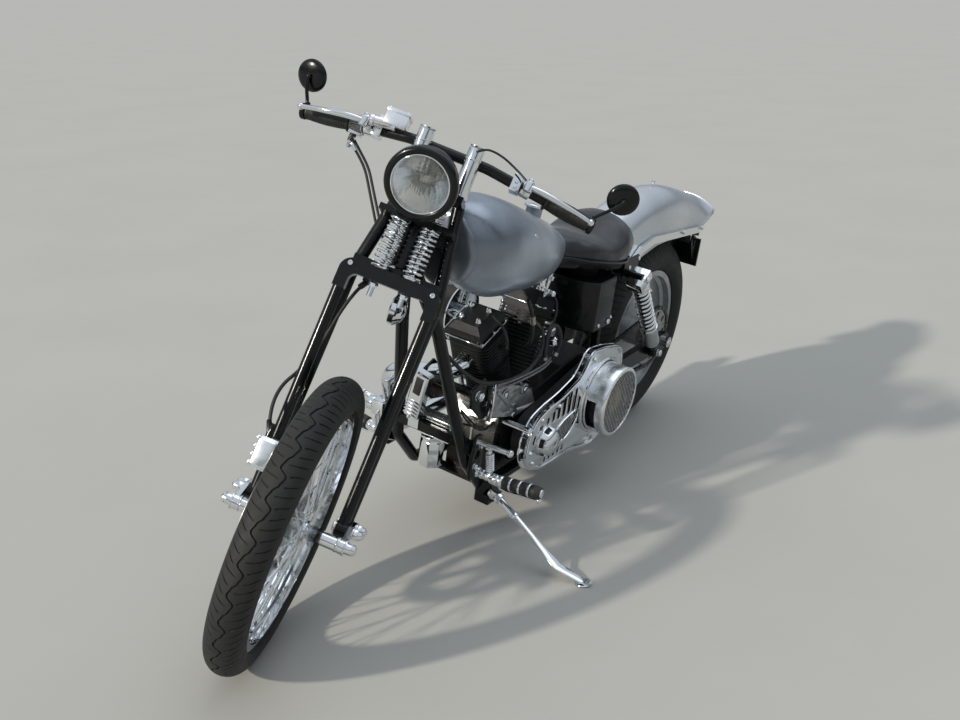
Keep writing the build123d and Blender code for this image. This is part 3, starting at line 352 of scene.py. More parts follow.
def sleeve(inner, outer, low, high):
    """Profile of a washer, a ring or a rod with square ends."""
    return [(low, inner), (low, outer), (high, outer), (high, inner)]


def barrel(inner, outer, low, high, cut, drop):
    """Profile of a ring or a rod whose edges are cut back along it and dropped towards its middle."""
    return [
        (low, inner), (low, outer - drop), (low + cut, outer), (high - cut, outer), (high, outer - drop),
        (high, inner)]


def flat_bar(half_wide, half_thick):
    """A rectangular section."""
    return [
        (-half_wide, -half_thick), (half_wide, -half_thick), (half_wide, half_thick),
        (-half_wide, half_thick)]


def skinned(loops, ends=(0, -1), closed=False):
    """A skin over closed loops of the same length, with a flat face on each of the named ends."""
    n = len(loops[0])
    numbered = [range(i * n, (i + 1) * n) for i in range(len(loops))]
    faces = grid(len(loops), n, closed, True) + [tuple(numbered[end]) for end in ends]
    return [tuple(p) for loop in loops for p in loop], faces


print("drawing helpers ready")

# %% [markdown]
# ## Placing a drawing
# A turned part is drawn standing on Z, and on the machine it points anywhere. One matrix takes it
# there, so each part needs only its profile, the point where it stands and its direction.

# %% Placing and joining
def moved(shape, matrix):
    """A drawing carried by a matrix."""
    return [tuple(matrix @ Vector(p)) for p in shape[0]], shape[1]


def aim(origin, direction, hint=LEFT):
    """Matrix that stands a drawing's Z axis along direction at origin."""
    z = Vector(direction).normalized()
    hint = Vector(hint) if abs(Vector(hint).normalized().dot(z)) < 0.99 else Vector(BACK)
    x = (hint - z * hint.dot(z)).normalized()
    return Matrix.Translation(origin) @ Matrix((x, z.cross(x), z)).transposed().to_4x4()


def lathe(profile, origin, direction, steps=32):
    """A turned shape that stands at origin and points along direction."""
    return moved(turned(profile, steps), aim(origin, direction))


def joined(shapes):
    """Several drawings as one."""
    points, faces = [], []
    for p, f in shapes:
        start = len(points)
        points += p
        faces += [tuple(i + start for i in face) for face in f]
    return points, faces


print("placing helpers ready")

# %% [markdown]
# ## From drawing to piece
# A piece needs the same care each time: merge doubled points, point the faces outward, keep edges
# crisp where the surface turns sharply, round them with a small bevel, and ride on a body. Shiny
# metal shows its bevels as thin highlights, which is why nearly every piece here has one.

# %% Building a piece
MERGE = 0.02 * MM


def piece(name, shape, drawn_on, material, replaces=(), body="frame", bevel=0.0, crisp=35):
    """Turns a drawing, or a list of them, into an object that rides on a body and replaces CAD nodes.
    bevel is in millimetres and crisp in degrees."""
    shape = joined(shape) if isinstance(shape, list) else shape
    mesh = bpy.data.meshes.new(name)
    mesh.from_pydata([tuple(drawn_on @ Vector(p)) for p in shape[0]], [], shape[1])
    work = bmesh.new()
    work.from_mesh(mesh)
    bmesh.ops.remove_doubles(work, verts=work.verts, dist=MERGE)
    bmesh.ops.dissolve_degenerate(work, edges=work.edges, dist=MERGE)
    bmesh.ops.recalc_face_normals(work, faces=work.faces)
    work.to_mesh(mesh)
    work.free()
    obj = bpy.data.objects.new(name, mesh)
    bpy.context.scene.collection.objects.link(obj)
    mesh.materials.append(material)
    mesh.shade_smooth()
    if bevel:
        rounding = obj.modifiers.new("rounding", "BEVEL")
        rounding.width = bevel * MM
        rounding.segments = 2
        rounding.limit_method = "ANGLE"
        rounding.angle_limit = radians(crisp)
        rounding.harden_normals = False
    else:
        mesh.set_sharp_from_angle(angle=radians(crisp))
    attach(obj, body)
    if replaces:
        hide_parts(*replaces)
    return obj


# %% [markdown]
# ## Plate with holes
# Guards, discs and brackets are sheet metal with holes. A 2D curve in Blender fills its outline,
# leaves the holes open and rounds both edges, so one function draws with it and keeps the mesh.

# %% Plates, holes and blocks
def traced(drawing):
    """Points and faces that Blender makes of a curve. The curve itself is then removed."""
    holder = bpy.data.objects.new(drawing.name, drawing)
    mesh = bpy.data.meshes.new_from_object(holder)
    points, faces = [v.co.copy() for v in mesh.vertices], [tuple(p.vertices) for p in mesh.polygons]
    bpy.data.objects.remove(holder)
    bpy.data.curves.remove(drawing)
    bpy.data.meshes.remove(mesh)
    return points, faces


def plate(loops, x0, x1, edge=0.8):
    """Sheet cut to the first loop of (y, z) points with the others as holes, from x0 to x1."""
    drawing = bpy.data.curves.new("plate", "CURVE")
    drawing.dimensions = "2D"
    drawing.fill_mode = "BOTH"
    drawing.extrude = abs(x1 - x0) / 2 - edge
    drawing.bevel_depth = edge
    drawing.bevel_resolution = 1
    drawing.offset = -edge
    for loop in loops:
        line = drawing.splines.new("POLY")
        line.points.add(len(loop) - 1)
        for point, (y, z) in zip(line.points, loop):
            point.co = (y, z, 0, 1)
        line.use_cyclic_u = True
    points, faces = traced(drawing)
    return [((x0 + x1) / 2 + p.z, p.x, p.y) for p in points], faces


def circle(y, z, radius, steps=48):
    """A round loop in a plate."""
    return [(y + a, z + b) for a, b in ring(radius, steps)]


def hole_ring(count, reach, radius, steps):
    """Round holes in a circle about the plate's origin."""
    return [circle(y, z, radius, steps) for y, z in ring(reach, count)]


def slot_loop(y0, z0, y1, z1, radius, steps=6):
    """A hole with round ends between two points."""
    base = atan2(z1 - z0, y1 - y0)
    loop = []
    for (cy, cz), start in (((y1, z1), base - pi / 2), ((y0, z0), base + pi / 2)):
        for k in range(steps + 1):
            a = start + pi * k / steps
            loop.append((cy + radius * cos(a), cz + radius * sin(a)))
    return loop


def box(x0, x1, y0, y1, z0, z1):
    """A block between two corners."""
    points = [(x, y, z) for x in (x0, x1) for y in (y0, y1) for z in (z0, z1)]
    return points, [(0, 1, 3, 2), (4, 6, 7, 5), (0, 4, 5, 1), (2, 3, 7, 6), (0, 2, 6, 4), (1, 5, 7, 3)]


print("plate helpers ready")

# %% [markdown]
# ## Bolts, nuts and screws
# Fasteners sit everywhere on this machine, and their bright heads catch the light. Each kind is
# drawn once, by its size, and only the part that shows.

# %% Fasteners
def hexagon(across, height):
    """A hexagon head or nut standing on Z, with its corners turned down as on a real nut."""
    corners = ring(across / sqrt(3), 6)
    levels = ((1, 0), (1, height * 0.82), (0.88, height))
    return skinned([[(x * size, y * size, z) for x, y in corners] for size, z in levels])


def bolt(origin, direction, across):
    """A hexagon head on its washer."""
    rise = across * 0.09
    head = moved(hexagon(across, across * 0.55), Matrix.Translation((0, 0, rise)))
    return moved(joined([turned(sleeve(0, across * 0.62, 0, rise), 20), head]), aim(origin, direction))


def acorn(origin, direction, across):
    """A domed acorn nut."""
    r = across * 0.5
    dome = [(across * 0.45, r * 0.98)] + [
        (across * 0.5 + r * 1.05 * sin(a), r * 0.92 * cos(a)) for a in (0, 0.35, 0.7, 1.05, 1.35, pi / 2)]
    return moved(joined([hexagon(across, across * 0.5), turned(dome, 24)]), aim(origin, direction))


def cap_screw(origin, direction, radius):
    """A cap screw with its hexagon socket."""
    line = [
        (0, radius), (radius * 0.85, radius), (radius, radius * 0.86), (radius, radius * 0.5),
        (radius * 0.45, radius * 0.46), (radius * 0.45, 0)]
    return lathe([(0, 0)] + line, origin, direction, 18)


print("fasteners ready")

# %% [markdown]
# ## Lines through chosen points
# Hoses, cables and stalks are bent by hand on the real machine. Here a few chosen points lead a
# smooth line, and a round section is swept along it. The brake hose and the oil hose have a route
# in the CAD, so the corner points of that route shape theirs.

# %% Hoses and rods
def between(a, b, c, d, t):
    """A smooth value from b to c, led by a and d, for numbers or vectors."""
    return 0.5 * (
        2 * b + (c - a) * t + (2 * a - 5 * b + 4 * c - d) * t ** 2 + (3 * b - a - 3 * c + d) * t ** 3)


def curve_through(points, per=8):
    """Smooth points through a few given ones."""
    points = [Vector(p) for p in points]
    chain = [points[0] * 2 - points[1]] + points + [points[-1] * 2 - points[-2]]
    line = []
    for i in range(1, len(chain) - 2):
        line += [between(*chain[i - 1:i + 3], k / per) for k in range(per)]
    return line + [points[-1]]


def hose(points, radius, sides=12, per=8):
    """A round hose or rod through given points."""
    return swept(curve_through(points, per), ring(radius, sides))


def routed(points, radius, sides=14):
    """A hose on its CAD route: the corner points shape a smooth spline that ends at the last ones."""
    drawing = bpy.data.curves.new("route", "CURVE")
    drawing.dimensions = "3D"
    spline = drawing.splines.new("NURBS")
    spline.points.add(len(points) - 1)
    for point, place in zip(spline.points, points):
        point.co = (*place, 1)
    spline.order_u, spline.use_endpoint_u, spline.resolution_u = 3, True, 12
    return swept(traced(drawing)[0], ring(radius, sides))


print("hose helpers ready")

# %% [markdown]
# ## Finishes on the CAD nodes
# Where a CAD shape is already right, it stays and only its material changes. One table names the
# finish that each of those nodes has on the real machine.

# %% Dress the CAD nodes
dress = {
    chrome: [
        "front_wheel", "front_axle", "fork_rocker_left", "fork_rocker_right", "riser_left", "riser_right",
        "cam_cover", "carburettor", "primary_guard", "clutch", "exhaust", "regulator", "control_left",
        "control_right", "side_stand", "fender_strut", "horn", "clutch_lever", "brake_lever", "shock_left",
        "shock_right", "fork_spring_left", "fork_spring_right", "rear_axle"],
    enamel: [
        "rigid_fork", "spring_fork", "handlebar", "headlamp", "frame_neck", "frame_cradle", "frame_rear",
        "swingarm", "oil_tank", "mirror_left", "mirror_right"],
    fin_paint: [
        "front_cylinder", "rear_cylinder", "front_rocker_box", "rear_rocker_box", "oil_cooler", "gearbox",
        "primary_plate"], case_metal_painted_shade: ["crankcase"], satin_chrome: ["caliper"],
    wheel_silver: ["rear_wheel"], steel: ["front_rotor", "rear_sprocket"], oiled_steel: ["chain"],
    tank_primer: ["fuel_tank"], fender_primer: ["rear_fender"],
    rubber: ["grip_left", "grip_right", "throttle", "brake_hose", "primary_belt", "oil_hose"],
    tread_rubber: ["front_tyre", "rear_tyre"], vinyl: ["seat"], glass: ["headlamp_lens"]}
for material, names in dress.items():
    for name in names:
        for entry in frame["nodes"][name].material_slots:
            entry.material = material
print("dressed", sum(len(names) for names in dress.values()), "of", len(frame["nodes"]))

# %% [markdown]
# ## Tyre tread
# The tyres have one zig-zag groove round the middle, and curved grooves that run from it to each
# shoulder like claw marks. A groove cut by a texture would vanish at the silhouette, so the tyre is
# a grid whose columns follow the zig-zag and whose rows follow the claw marks. Each groove then
# needs only a few points pushed in.

# %% A tyre with grooves
def tyre(radius, half, limit, waves, claws, sway, depth, reach, claw_depth, bead):
    """A grooved tyre about X. limit is where the side ends round the section, in degrees. The middle
    groove has waves bends of sway mm, with claws marks to each side of a bend, depth and claw_depth
    deep, as far as reach mm out. bead is the (x, radius) it folds in to, just above the rim."""
    middle = radius - half
    edge = half * radians(limit)
    lean_back = 0.3 * 2 * pi / waves
    outer = [edge * f for f in (0.36, 0.42, 0.48, 0.54, 0.6, 0.66, 0.72, 0.79, 0.86, 0.93, 1.0)]
    side = [0, 1.5, 2.6, 5, 8.5, 9.5, 14, 19, 24, 28] + [s for s in outer if s > 29]
    columns = [-s for s in side[:0:-1]] + side
    rows = []
    for wave in range(waves):
        for claw in range(2 * claws):
            start = (wave + (claw + 0.5) / (2 * claws)) / waves
            gap = 0.8 / radius / (2 * pi)
            rows += [(start - 2.3 * gap, 0, claw), (start - 1.2 * gap, 1, claw), (start + 1.2 * gap, 1, claw),
                     (start + 2.3 * gap, 0, claw), (start + 0.5 / (2 * claws) / waves, 0, claw)]
    points = []
    for start, cut, claw in rows:
        at_bead = polar(bead[1], 2 * pi * start - lean_back)
        points.append((-bead[0], *at_bead))
        for s in columns:
            near = max(0.0, 1 - max(0.0, abs(s) - 9) / 26)
            turn = 2 * pi * start - lean_back * (min(abs(s), reach) / reach) ** 1.6
            wave = tanh(2.0 * sin(waves * turn)) + 0.3 * sin(2 * waves * turn)
            across = s + sway * wave * near
            sink = depth if abs(s) < 2 else 0.0
            own_side = (s > 0) == (claw % 2 == 0)
            if cut and own_side and 12 < abs(s) < reach:
                sink = max(sink, claw_depth * min(1.0, (reach - abs(s)) / 9, (abs(s) - 6) / 6))
            lip = 0.7 if abs(abs(s) - edge * 0.79) < 1 else 0.0
            angle = across / half
            r = middle + (half - sink + lip) * cos(angle)
            x = (half - sink + lip) * sin(angle)
            points.append((x, *polar(r, turn)))
        points.append((bead[0], *at_bead))
    return points, grid(len(rows), len(columns) + 2, True)


FRONT_TYRE_RADIUS = 343.0
FRONT_BEAD, REAR_BEAD = (30.0, 280.2), (43.0, 217.4)
front_shape = tyre(FRONT_TYRE_RADIUS, half=44.0, limit=112, waves=32, claws=3, sway=7.5, depth=3.6,
                   reach=50, claw_depth=2.4, bead=FRONT_BEAD)
rear_shape = tyre(REAR_TYRE_RADIUS, half=63.5, limit=126, waves=28, claws=3, sway=9, depth=4.5,
                  reach=78, claw_depth=3.6, bead=REAR_BEAD)
front_tread = piece(
    "front_tyre_tread", front_shape, FRONT_HUB, tread_rubber, ["front_tyre"], "front_wheel", crisp=28)
rear_tread = piece(
    "rear_tyre_tread", rear_shape, REAR_HUB, tread_rubber, ["rear_tyre"], "rear_wheel", crisp=28)
print("tread faces", len(front_tread.data.polygons), len(rear_tread.data.polygons))

# %% [markdown]
# ## Wheel hardware
# A laced wheel is tuned by its nipples: short brass nuts, plated bright, where each spoke meets the
# rim. The CAD wheel has the 40 spokes, so here come the nipples, the valve, and a drilled brake
# disc on its six-armed carrier. The disc is cut as a flat curve with holes, like sheet metal.

# %% Nipples, valve and front disc
SPOKES, HUB_FLANGE, RIM_WELL = 40, 38.0, 253.2
nipples = []
for k in range(SPOKES):
    hand = 1 if k % 2 else -1
    lace = radians(34) * (1 if (k // 2) % 2 else -1)
    turn = 2 * pi * k / SPOKES
    hub = Vector((hand * 34.5, *polar(HUB_FLANGE, turn - lace)))
    rim = Vector((hand * 6, *polar(RIM_WELL, turn)))
    nipples += [
        lathe([(0, 2), (0, 3.2), (9, 3.2), (11, 2.6), (14, 2.6), (14, 2)], rim, hub - rim, 8),
        lathe([(-3, 0), (-3, 3.2), (0, 3.4), (1, 2)], hub, rim - hub, 8)]
valve_root = Vector((0, *polar(251, 2 * pi * 10.5 / SPOKES)))
nipples.append(lathe(
    [(-2, 0), (-2, 6), (3, 6), (3, 3.5), (26, 3.5), (26, 4.2), (36, 4.2), (38, 2.5), (38, 0)], valve_root,
    -valve_root, 12))
piece("spoke_nipples", nipples, FRONT_HUB, chrome, body="front_wheel")

DISC_X, DISC_RADIUS = -72.5, 146.0
drilled = [circle(0, 0, DISC_RADIUS, 96), circle(0, 0, 113, 96)]
for k in range(36):
    reach = (137, 129.5, 122)[k % 3]
    drilled.append(circle(*polar(reach, 2 * pi * k / 36), 3.6, 12))
piece(
    "front_brake_disc", plate(drilled, DISC_X - 2.5, DISC_X + 2.5, 0.4), FRONT_HUB, steel, ["front_rotor"],
    "front_wheel")
spider = [circle(0, 0, 118, 96)]
for k in range(6):
    a, b = 2 * pi * (k + 0.16) / 6, 2 * pi * (k + 0.84) / 6
    loop = [polar(104, a + (b - a) * j / 8) for j in range(9)]
    loop += [polar(52, b - (b - a) * (0.18 + 0.64 * j / 4)) for j in range(5)]
    spider.append(loop)
spider.append(circle(0, 0, 20.5, 32))
carrier = [
    plate(spider, DISC_X - 4, DISC_X + 1.5, 0.8),
    lathe([(0, 20.5), (0, 34), (26, 34), (26, 20.5), (0, 20.5)], (DISC_X, 0, 0), LEFT, 40)]
carrier += [cap_screw((DISC_X - 4, y, z), RIGHT, 6) for y, z in ring(42, 5)]
piece("front_disc_carrier", carrier, FRONT_HUB, polished, body="front_wheel")
print("nipples", SPOKES, "disc holes", len(drilled) - 2)

# %% [markdown]
# ## Chain and sprocket
# A drive chain is a row of rollers on pins, joined by pairs of waisted side plates, and every other
# pair sits outside its neighbours. The links follow the two straight runs and the two arcs round
# the sprockets, one every 15.875 mm, so the loop is walked by arc length.

# %% Drive chain and its sprocket
LINK = 15.875
# The gearbox's main shaft crosses the chassis board here
MAIN_Y, MAIN_Z = -510.0, 308.0
MAIN, WHEEL = Vector((MAIN_Y, MAIN_Z)), Vector((0.0, REAR_TYRE_RADIUS))
FRONT_PITCH, REAR_PITCH = 51.0, 101.0
CHAIN_X = 87.5
run = WHEEL - MAIN
base, wrap = atan2(run.y, run.x), acos((FRONT_PITCH - REAR_PITCH) / run.length)
straight = sqrt(run.length ** 2 - (REAR_PITCH - FRONT_PITCH) ** 2)
rear_arc, front_arc = REAR_PITCH * 2 * wrap, FRONT_PITCH * 2 * (pi - wrap)
loop_length = 2 * straight + rear_arc + front_arc


def on_front(angle):
    """Point on the pitch circle of the front sprocket."""
    return MAIN + Vector((cos(angle), sin(angle))) * FRONT_PITCH


def on_rear(angle):
    """Point on the pitch circle of the rear sprocket."""
    return WHEEL + Vector((cos(angle), sin(angle))) * REAR_PITCH


def chain_point(distance):
    """Point on the chain's loop after a distance from the upper front tangent."""
    distance %= loop_length
    top, low = base + wrap, base - wrap
    if distance < straight:
        return on_front(top).lerp(on_rear(top), distance / straight)
    distance -= straight
    if distance < rear_arc:
        return on_rear(top - distance / REAR_PITCH)
    distance -= rear_arc
    if distance < straight:
        return on_rear(low).lerp(on_front(low), distance / straight)
    return on_front(low - (distance - straight) / FRONT_PITCH)


link_count = 2 * round(loop_length / LINK / 2)
links = []
for k in range(link_count):
    here = chain_point(loop_length * k / link_count)
    there = chain_point(loop_length * (k + 1) / link_count)
    spacing = 3.4 if k % 2 else 2.2
    along = (there - here).normalized()
    turn = atan2(along.y, along.x)
    loop = []
    for centre, start in ((there, turn - pi / 2), (here, turn + pi / 2)):
        loop += [
            (centre.x + 6 * cos(start + pi * j / 4), centre.y + 6 * sin(start + pi * j / 4))
            for j in range(5)]
    for side in (-1, 1):
        sheet = [[(CHAIN_X + side * x, y, z) for y, z in loop] for x in (spacing, spacing + 1.2)]
        links.append(skinned(sheet))
    links.append(lathe(
        [(-5, 0), (-5, 2.2), (-3, 2.2), (-3, 4.6), (3, 4.6), (3, 2.2), (5, 2.2), (5, 0)],
        (CHAIN_X, here.x, here.y), LEFT, 8))
piece("drive_chain", links, CHASSIS, oiled_steel, ["chain"], crisp=50)

TEETH = round(2 * pi * REAR_PITCH / LINK)
teeth = [
    polar(r, 2 * pi * (k + f) / TEETH) for k in range(TEETH)
    for f, r in ((-0.42, 95.5), (-0.2, 97), (-0.09, 103), (0.09, 103), (0.2, 97), (0.42, 95.5))]
sprocket = [
    plate([teeth] + hole_ring(9, 76, 11, 20) + [circle(0, 0, 31, 32)], 84, 89, 0.5),
    lathe([(0, 31), (0, 60), (26, 60), (28, 58), (28, 31), (0, 31)], (58, 0, 0), LEFT, 40)]
sprocket += [bolt((89, y, z), LEFT, 12) for y, z in ring(46, 5)]
piece("final_sprocket", sprocket, REAR_HUB, steel, ["rear_sprocket"], "rear_wheel")
print("chain links", link_count, "sprocket teeth", TEETH)

# %% [markdown]
# ## Springs and nuts of the springer fork
# A springer fork hangs the wheel on rockers, and chrome coil springs on two rods hold the front
# legs down. The CAD has a ribbed sleeve for each spring. A real coil is a wire on a helix, so here
# a round section is swept along one, with closed flat turns at both ends as wound springs have.

# %% Fork springs
ROD_X, ROD_BACK = 36.0, -41.0
COIL_LOW, PERCH_LOW, PERCH_HIGH, TREE_LOW, TREE_HIGH, U_LOW = 592.0, 714.0, 728.0, 790.0, 806.0, 560.0
MAIN_TURNS, REBOUND_TURNS = 9.5, 4.5


def coil(centre, low, high, radius, wire, turns, per_turn=20, hand=1):
    """Spring wire about Z from low to high, with one closed turn at each end."""
    line = []
    total = turns + 1.5
    for k in range(int(total * per_turn) + 1):
        t = k / (total * per_turn)
        n = t * total
        rise = min(max((n - 0.6) / (total - 1.2), 0), 1)
        z = low + wire + (high - low - 2 * wire) * (0.985 * rise + 0.015 * t)
        a = hand * 2 * pi * n
        line.append((centre[0] + radius * cos(a), centre[1] + radius * sin(a), z))
    return swept(line, ring(wire, 8))


SIDES = ((1, "left"), (-1, "right"))
for side, name in SIDES:
    x = side * ROD_X
    centre = (x, ROD_BACK)
    parts = [
        coil(centre, COIL_LOW, PERCH_LOW, 20.2, 3.3, MAIN_TURNS, hand=side),
        coil(centre, PERCH_HIGH, TREE_LOW, 17, 2.8, REBOUND_TURNS, hand=side),
        lathe(sleeve(0, 6, 0, 34), (x, ROD_BACK, U_LOW - 34), UP, 16),
        lathe([(0, 6), (258, 6)], (x, ROD_BACK, U_LOW - 10), UP, 16),
        moved(hexagon(19, 12), Matrix.Translation((x, ROD_BACK, U_LOW - 12.5))),
        lathe([(0, 6), (0, 21), (3.5, 22.5), (4.5, 21), (4.5, 6)], (x, ROD_BACK, COIL_LOW), UP),
        lathe([(0, 6), (0, 19), (3, 20), (4, 18), (4, 6)], (x, ROD_BACK, TREE_LOW - 4.2), UP),
        lathe([(0, 6), (0, 22), (3.5, 21), (3.5, 6)], (x, ROD_BACK, PERCH_LOW - 3.7), UP),
        acorn((x, ROD_BACK, TREE_HIGH), UP, 19)]
    piece("fork_spring_coils_" + name, parts, FORK, chrome, ["fork_spring_" + name], "fork", crisp=40)

perch_nut = [
    acorn((0, -50, PERCH_HIGH + 0.2), UP, 17), lathe(sleeve(0, 13, 0, 2.5), (0, -50, PERCH_HIGH), UP, 24)]
perch_nut += [cap_screw((s * 98, -59.3, 578), AHEAD, 6) for s in (-1, 1)]
piece("perch_acorn", perch_nut, FORK, chrome, body="fork", bevel=0.5)
print("spring turns", MAIN_TURNS, "and", REBOUND_TURNS)

# %% [markdown]
# ## Rocker and axle nuts
# Each rocker turns on two pivots, and each pivot ends in a plated acorn nut with a washer. The nuts
# are lathe domes on a hexagon, and the axle wears the biggest ones.

# %% Rocker and axle nuts
ROCKER_OUT = 131.0
nuts = []
for side in (-1, 1):
    for ahead, height in ((-22, 34), (20, 28)):
        nuts += [
            lathe(sleeve(8, 15.5, 0, 3), (side * ROCKER_OUT, -ahead, height), (side, 0, 0), 28),
            acorn((side * (ROCKER_OUT + 3), -ahead, height), (side, 0, 0), 24),
            lathe(sleeve(8, 16.5, 0, 3), (side * 90, -ahead, height), (side, 0, 0), 28),
            moved(hexagon(22, 5.5), aim((side * 90, -ahead, height), (-side, 0, 0)))]
    nuts += [
        lathe(sleeve(12, 20, 0, 4), (side * ROCKER_OUT, -AXLE_OFFSET, 0), (side, 0, 0)),
        lathe(barrel(17, 18.4, 0, 7, 2, 0.8), (side * 112, -AXLE_OFFSET, 0), (side, 0, 0))]
piece("rocker_nuts", nuts, FORK, chrome, body="fork", bevel=0.4)
cap_line = [
    (0, 0), (0, 13.8), (15, 13.8), (16, 12.6), (18, 12.6), (19, 13.2), (24, 11.6), (27, 7.5), (28.2, 0)]
axle_caps = [lathe(cap_line, (side * ROCKER_OUT, -AXLE_OFFSET, 0), (side, 0, 0)) for side in (-1, 1)]
piece("axle_caps", axle_caps, FORK, chrome, body="fork", crisp=25)
print("nuts", len(nuts))

# %% [markdown]
# ## Headlamp
# The lamp is a black steel shell with a wide rolled bezel, an aluminised bowl with faint facets and
# a bulb with its dip shield. All are turned, and the facets are a small wave round the bowl.

# %% Lamp bezel, reflector and bulb
LAMP_REACH, LAMP_HEIGHT = 205.0, 771.0
lamp_board = FORK @ aim((0, -LAMP_REACH, LAMP_HEIGHT), (0, -cos(RAKE), -sin(RAKE)))
bezel = [
    (-20, 79.2), (-19, 80.2), (-8, 80.6), (-3, 80.4), (1.5, 78.4), (3.6, 74.5), (4, 70.5), (3.2, 67),
    (1.4, 64.6), (-1.5, 64), (-1.5, 70), (-4, 76), (-20, 79)]
wire_line = [(0.2, 65.6), (1.8, 65), (2.6, 63.4), (1.8, 62), (0, 61.8), (-1, 64)]
piece("lamp_bezel", turned(bezel, 96), lamp_board, enamel, body="fork", crisp=45)
piece("lamp_rim_wire", turned(wire_line, 96), lamp_board, chrome, body="fork", crisp=60)
bowl = [(-8 - 64 * (1 - (r / 61.5) ** 2), r) for r in (61.5, 57, 52, 46, 40, 34, 28, 22, 16, 11)]
bowl_points, bowl_faces = turned([(-7, 62.8), (-8, 61.5)] + bowl[1:] + [(-76, 11), (-76, 0)], 144)
FACETS = 16
bowl_points = [
    (x, y, z + 0.22 * cos(FACETS * atan2(y, x)) * min(1, hypot(x, y) / 40)) for x, y, z in bowl_points]
piece("lamp_bowl", (bowl_points, bowl_faces), lamp_board, reflector, body="fork", crisp=50)
bulb = [
    turned([(-76, 0), (-76, 9), (-60, 9), (-58, 6), (-56, 0)], 24),
    turned(
        [(-44, 0), (-44.5, 8), (-47, 10), (-56, 10.4), (-56, 9.4), (-47, 9.2), (-45, 7.4), (-44.8, 0)], 24)]
piece("lamp_bulb_shield", bulb, lamp_board, steel, body="fork")
print("bowl points", len(bowl_points))

# %% [markdown]
# ## Lamp lens
# The pressed lens has upright flutes that spread the beam sideways. They are real ridges on the
# back of the glass here, because that makes the bowl sparkle in streaks.

# %% Fluted lens
FLUTE_PITCH, LENS_RADIUS = 7.6, 63.6
spokes_round, rings_out = 120, 26
lens_points = []
for face in (0, 1):
    for i in range(rings_out + 1):
        r = LENS_RADIUS * i / rings_out
        for k in range(spokes_round):
            x, y = polar(r, 2 * pi * k / spokes_round)
            dome = 5.2 * (1 - (r / LENS_RADIUS) ** 2)
            inside = min(1.0, (1 - i / rings_out) * 9)
            wide = 1.35 if abs(y) < 20 else 0.7
            flute = abs(cos(pi * x / FLUTE_PITCH * wide)) * inside
            lens_points.append((x, y, dome - 0.6 if face == 0 else dome - 3.4 - 1.0 * flute))
n, layer = spokes_round, grid(rings_out + 1, spokes_round, False, True)
second = (rings_out + 1) * n
lens_faces = layer + [tuple(corner + second for corner in face) for face in layer]
front_edge, back_edge = rings_out * n, (2 * rings_out + 1) * n
lens_faces += [
    (front_edge + k, front_edge + (k + 1) % n, back_edge + (k + 1) % n, back_edge + k) for k in range(n)]
piece("lamp_lens", (lens_points, lens_faces), lamp_board, glass, ["headlamp_lens"], "fork", crisp=60)
lamp_screws = [cap_screw((s * 26, -64, 798), UP, 5) for s in (-1, 1)] + [
    bolt((s * 14.4, -78, 798), (s, 0, 0), 15) for s in (-1, 1)]
piece("lamp_mount_bolts", lamp_screws, FORK, chrome, body="fork")
print("lens flutes every", FLUTE_PITCH, "mm")

# %% [markdown]
# ## Grips
# The grips are rubber sleeves on the one-inch bar that swell in the middle and carry fine ribs. A
# loop writes the ribs into one profile, which is turned round the bar's own line.

# %% Grips
BAR_BEND, BAR_END = Vector((95.0, 4.0, 898.0)), Vector((366.0, 64.5, 876.0))


def on_bar(x):
    """Point on the bar's outer straight, x to the left."""
    t = (abs(x) - BAR_BEND.x) / (BAR_END.x - BAR_BEND.x)
    p = BAR_BEND.lerp(BAR_END, t)
    return Vector((-p.x if x < 0 else p.x, p.y, p.z))


def on_fork(x, ahead, height):
    """Point on the fork's board, ahead of the steering axis."""
    return Vector((x, -ahead, height))


for side, name in SIDES:
    start, end = on_bar(side * 241), on_bar(side * 352)
    long = (end - start).length
    line = [(0, 12.9), (0, 20.5), (2, 21.5), (5, 21.5), (6.5, 16.8)]
    ribs = 24
    for k in range(ribs):
        f = (k + 0.5) / ribs
        swell = 16.9 + 2.9 * sin(pi * min(1.0, f * 1.02)) ** 0.8
        z = 6.5 + (long - 12) * k / ribs
        step = (long - 12) / ribs
        line += [
            (z + 0.15 * step, swell - 0.7), (z + 0.35 * step, swell), (z + 0.8 * step, swell),
            (z + step, swell - 0.7)]
    line += [(long - 5, 17.6), (long - 1, 17), (long, 15), (long, 12.9)]
    piece(
        "grip_rubber_" + name, lathe(line, start, end - start, 40), FORK, rubber, ["grip_" + name], "fork",
        crisp=45)
print("grip length in mm", round(long))

# %% [markdown]
# ## Levers, clamps and brake cylinder
# Every control clamps round the bar. The levers are forged blades: deep at the pivot, slim at the
# finger, with a ball end. They are swept along a bent line with a flat oval section that changes
# on its way.

# %% Levers, perches and reservoir
def clamp_band(x0, x1, radius):
    """A clamp round the bar with rounded edges."""
    a, b = on_bar(x0), on_bar(x1)
    return lathe(barrel(12.9, radius, 0, (b - a).length, 1.5, 1.5), a, b - a, 36)


def block_at(centre, size):
    """A block by its middle and size; the piece's bevel rounds it."""
    x, y, z = (s / 2 for s in size)
    return moved(box(-x, x, -y, y, -z, z), Matrix.Translation(centre))


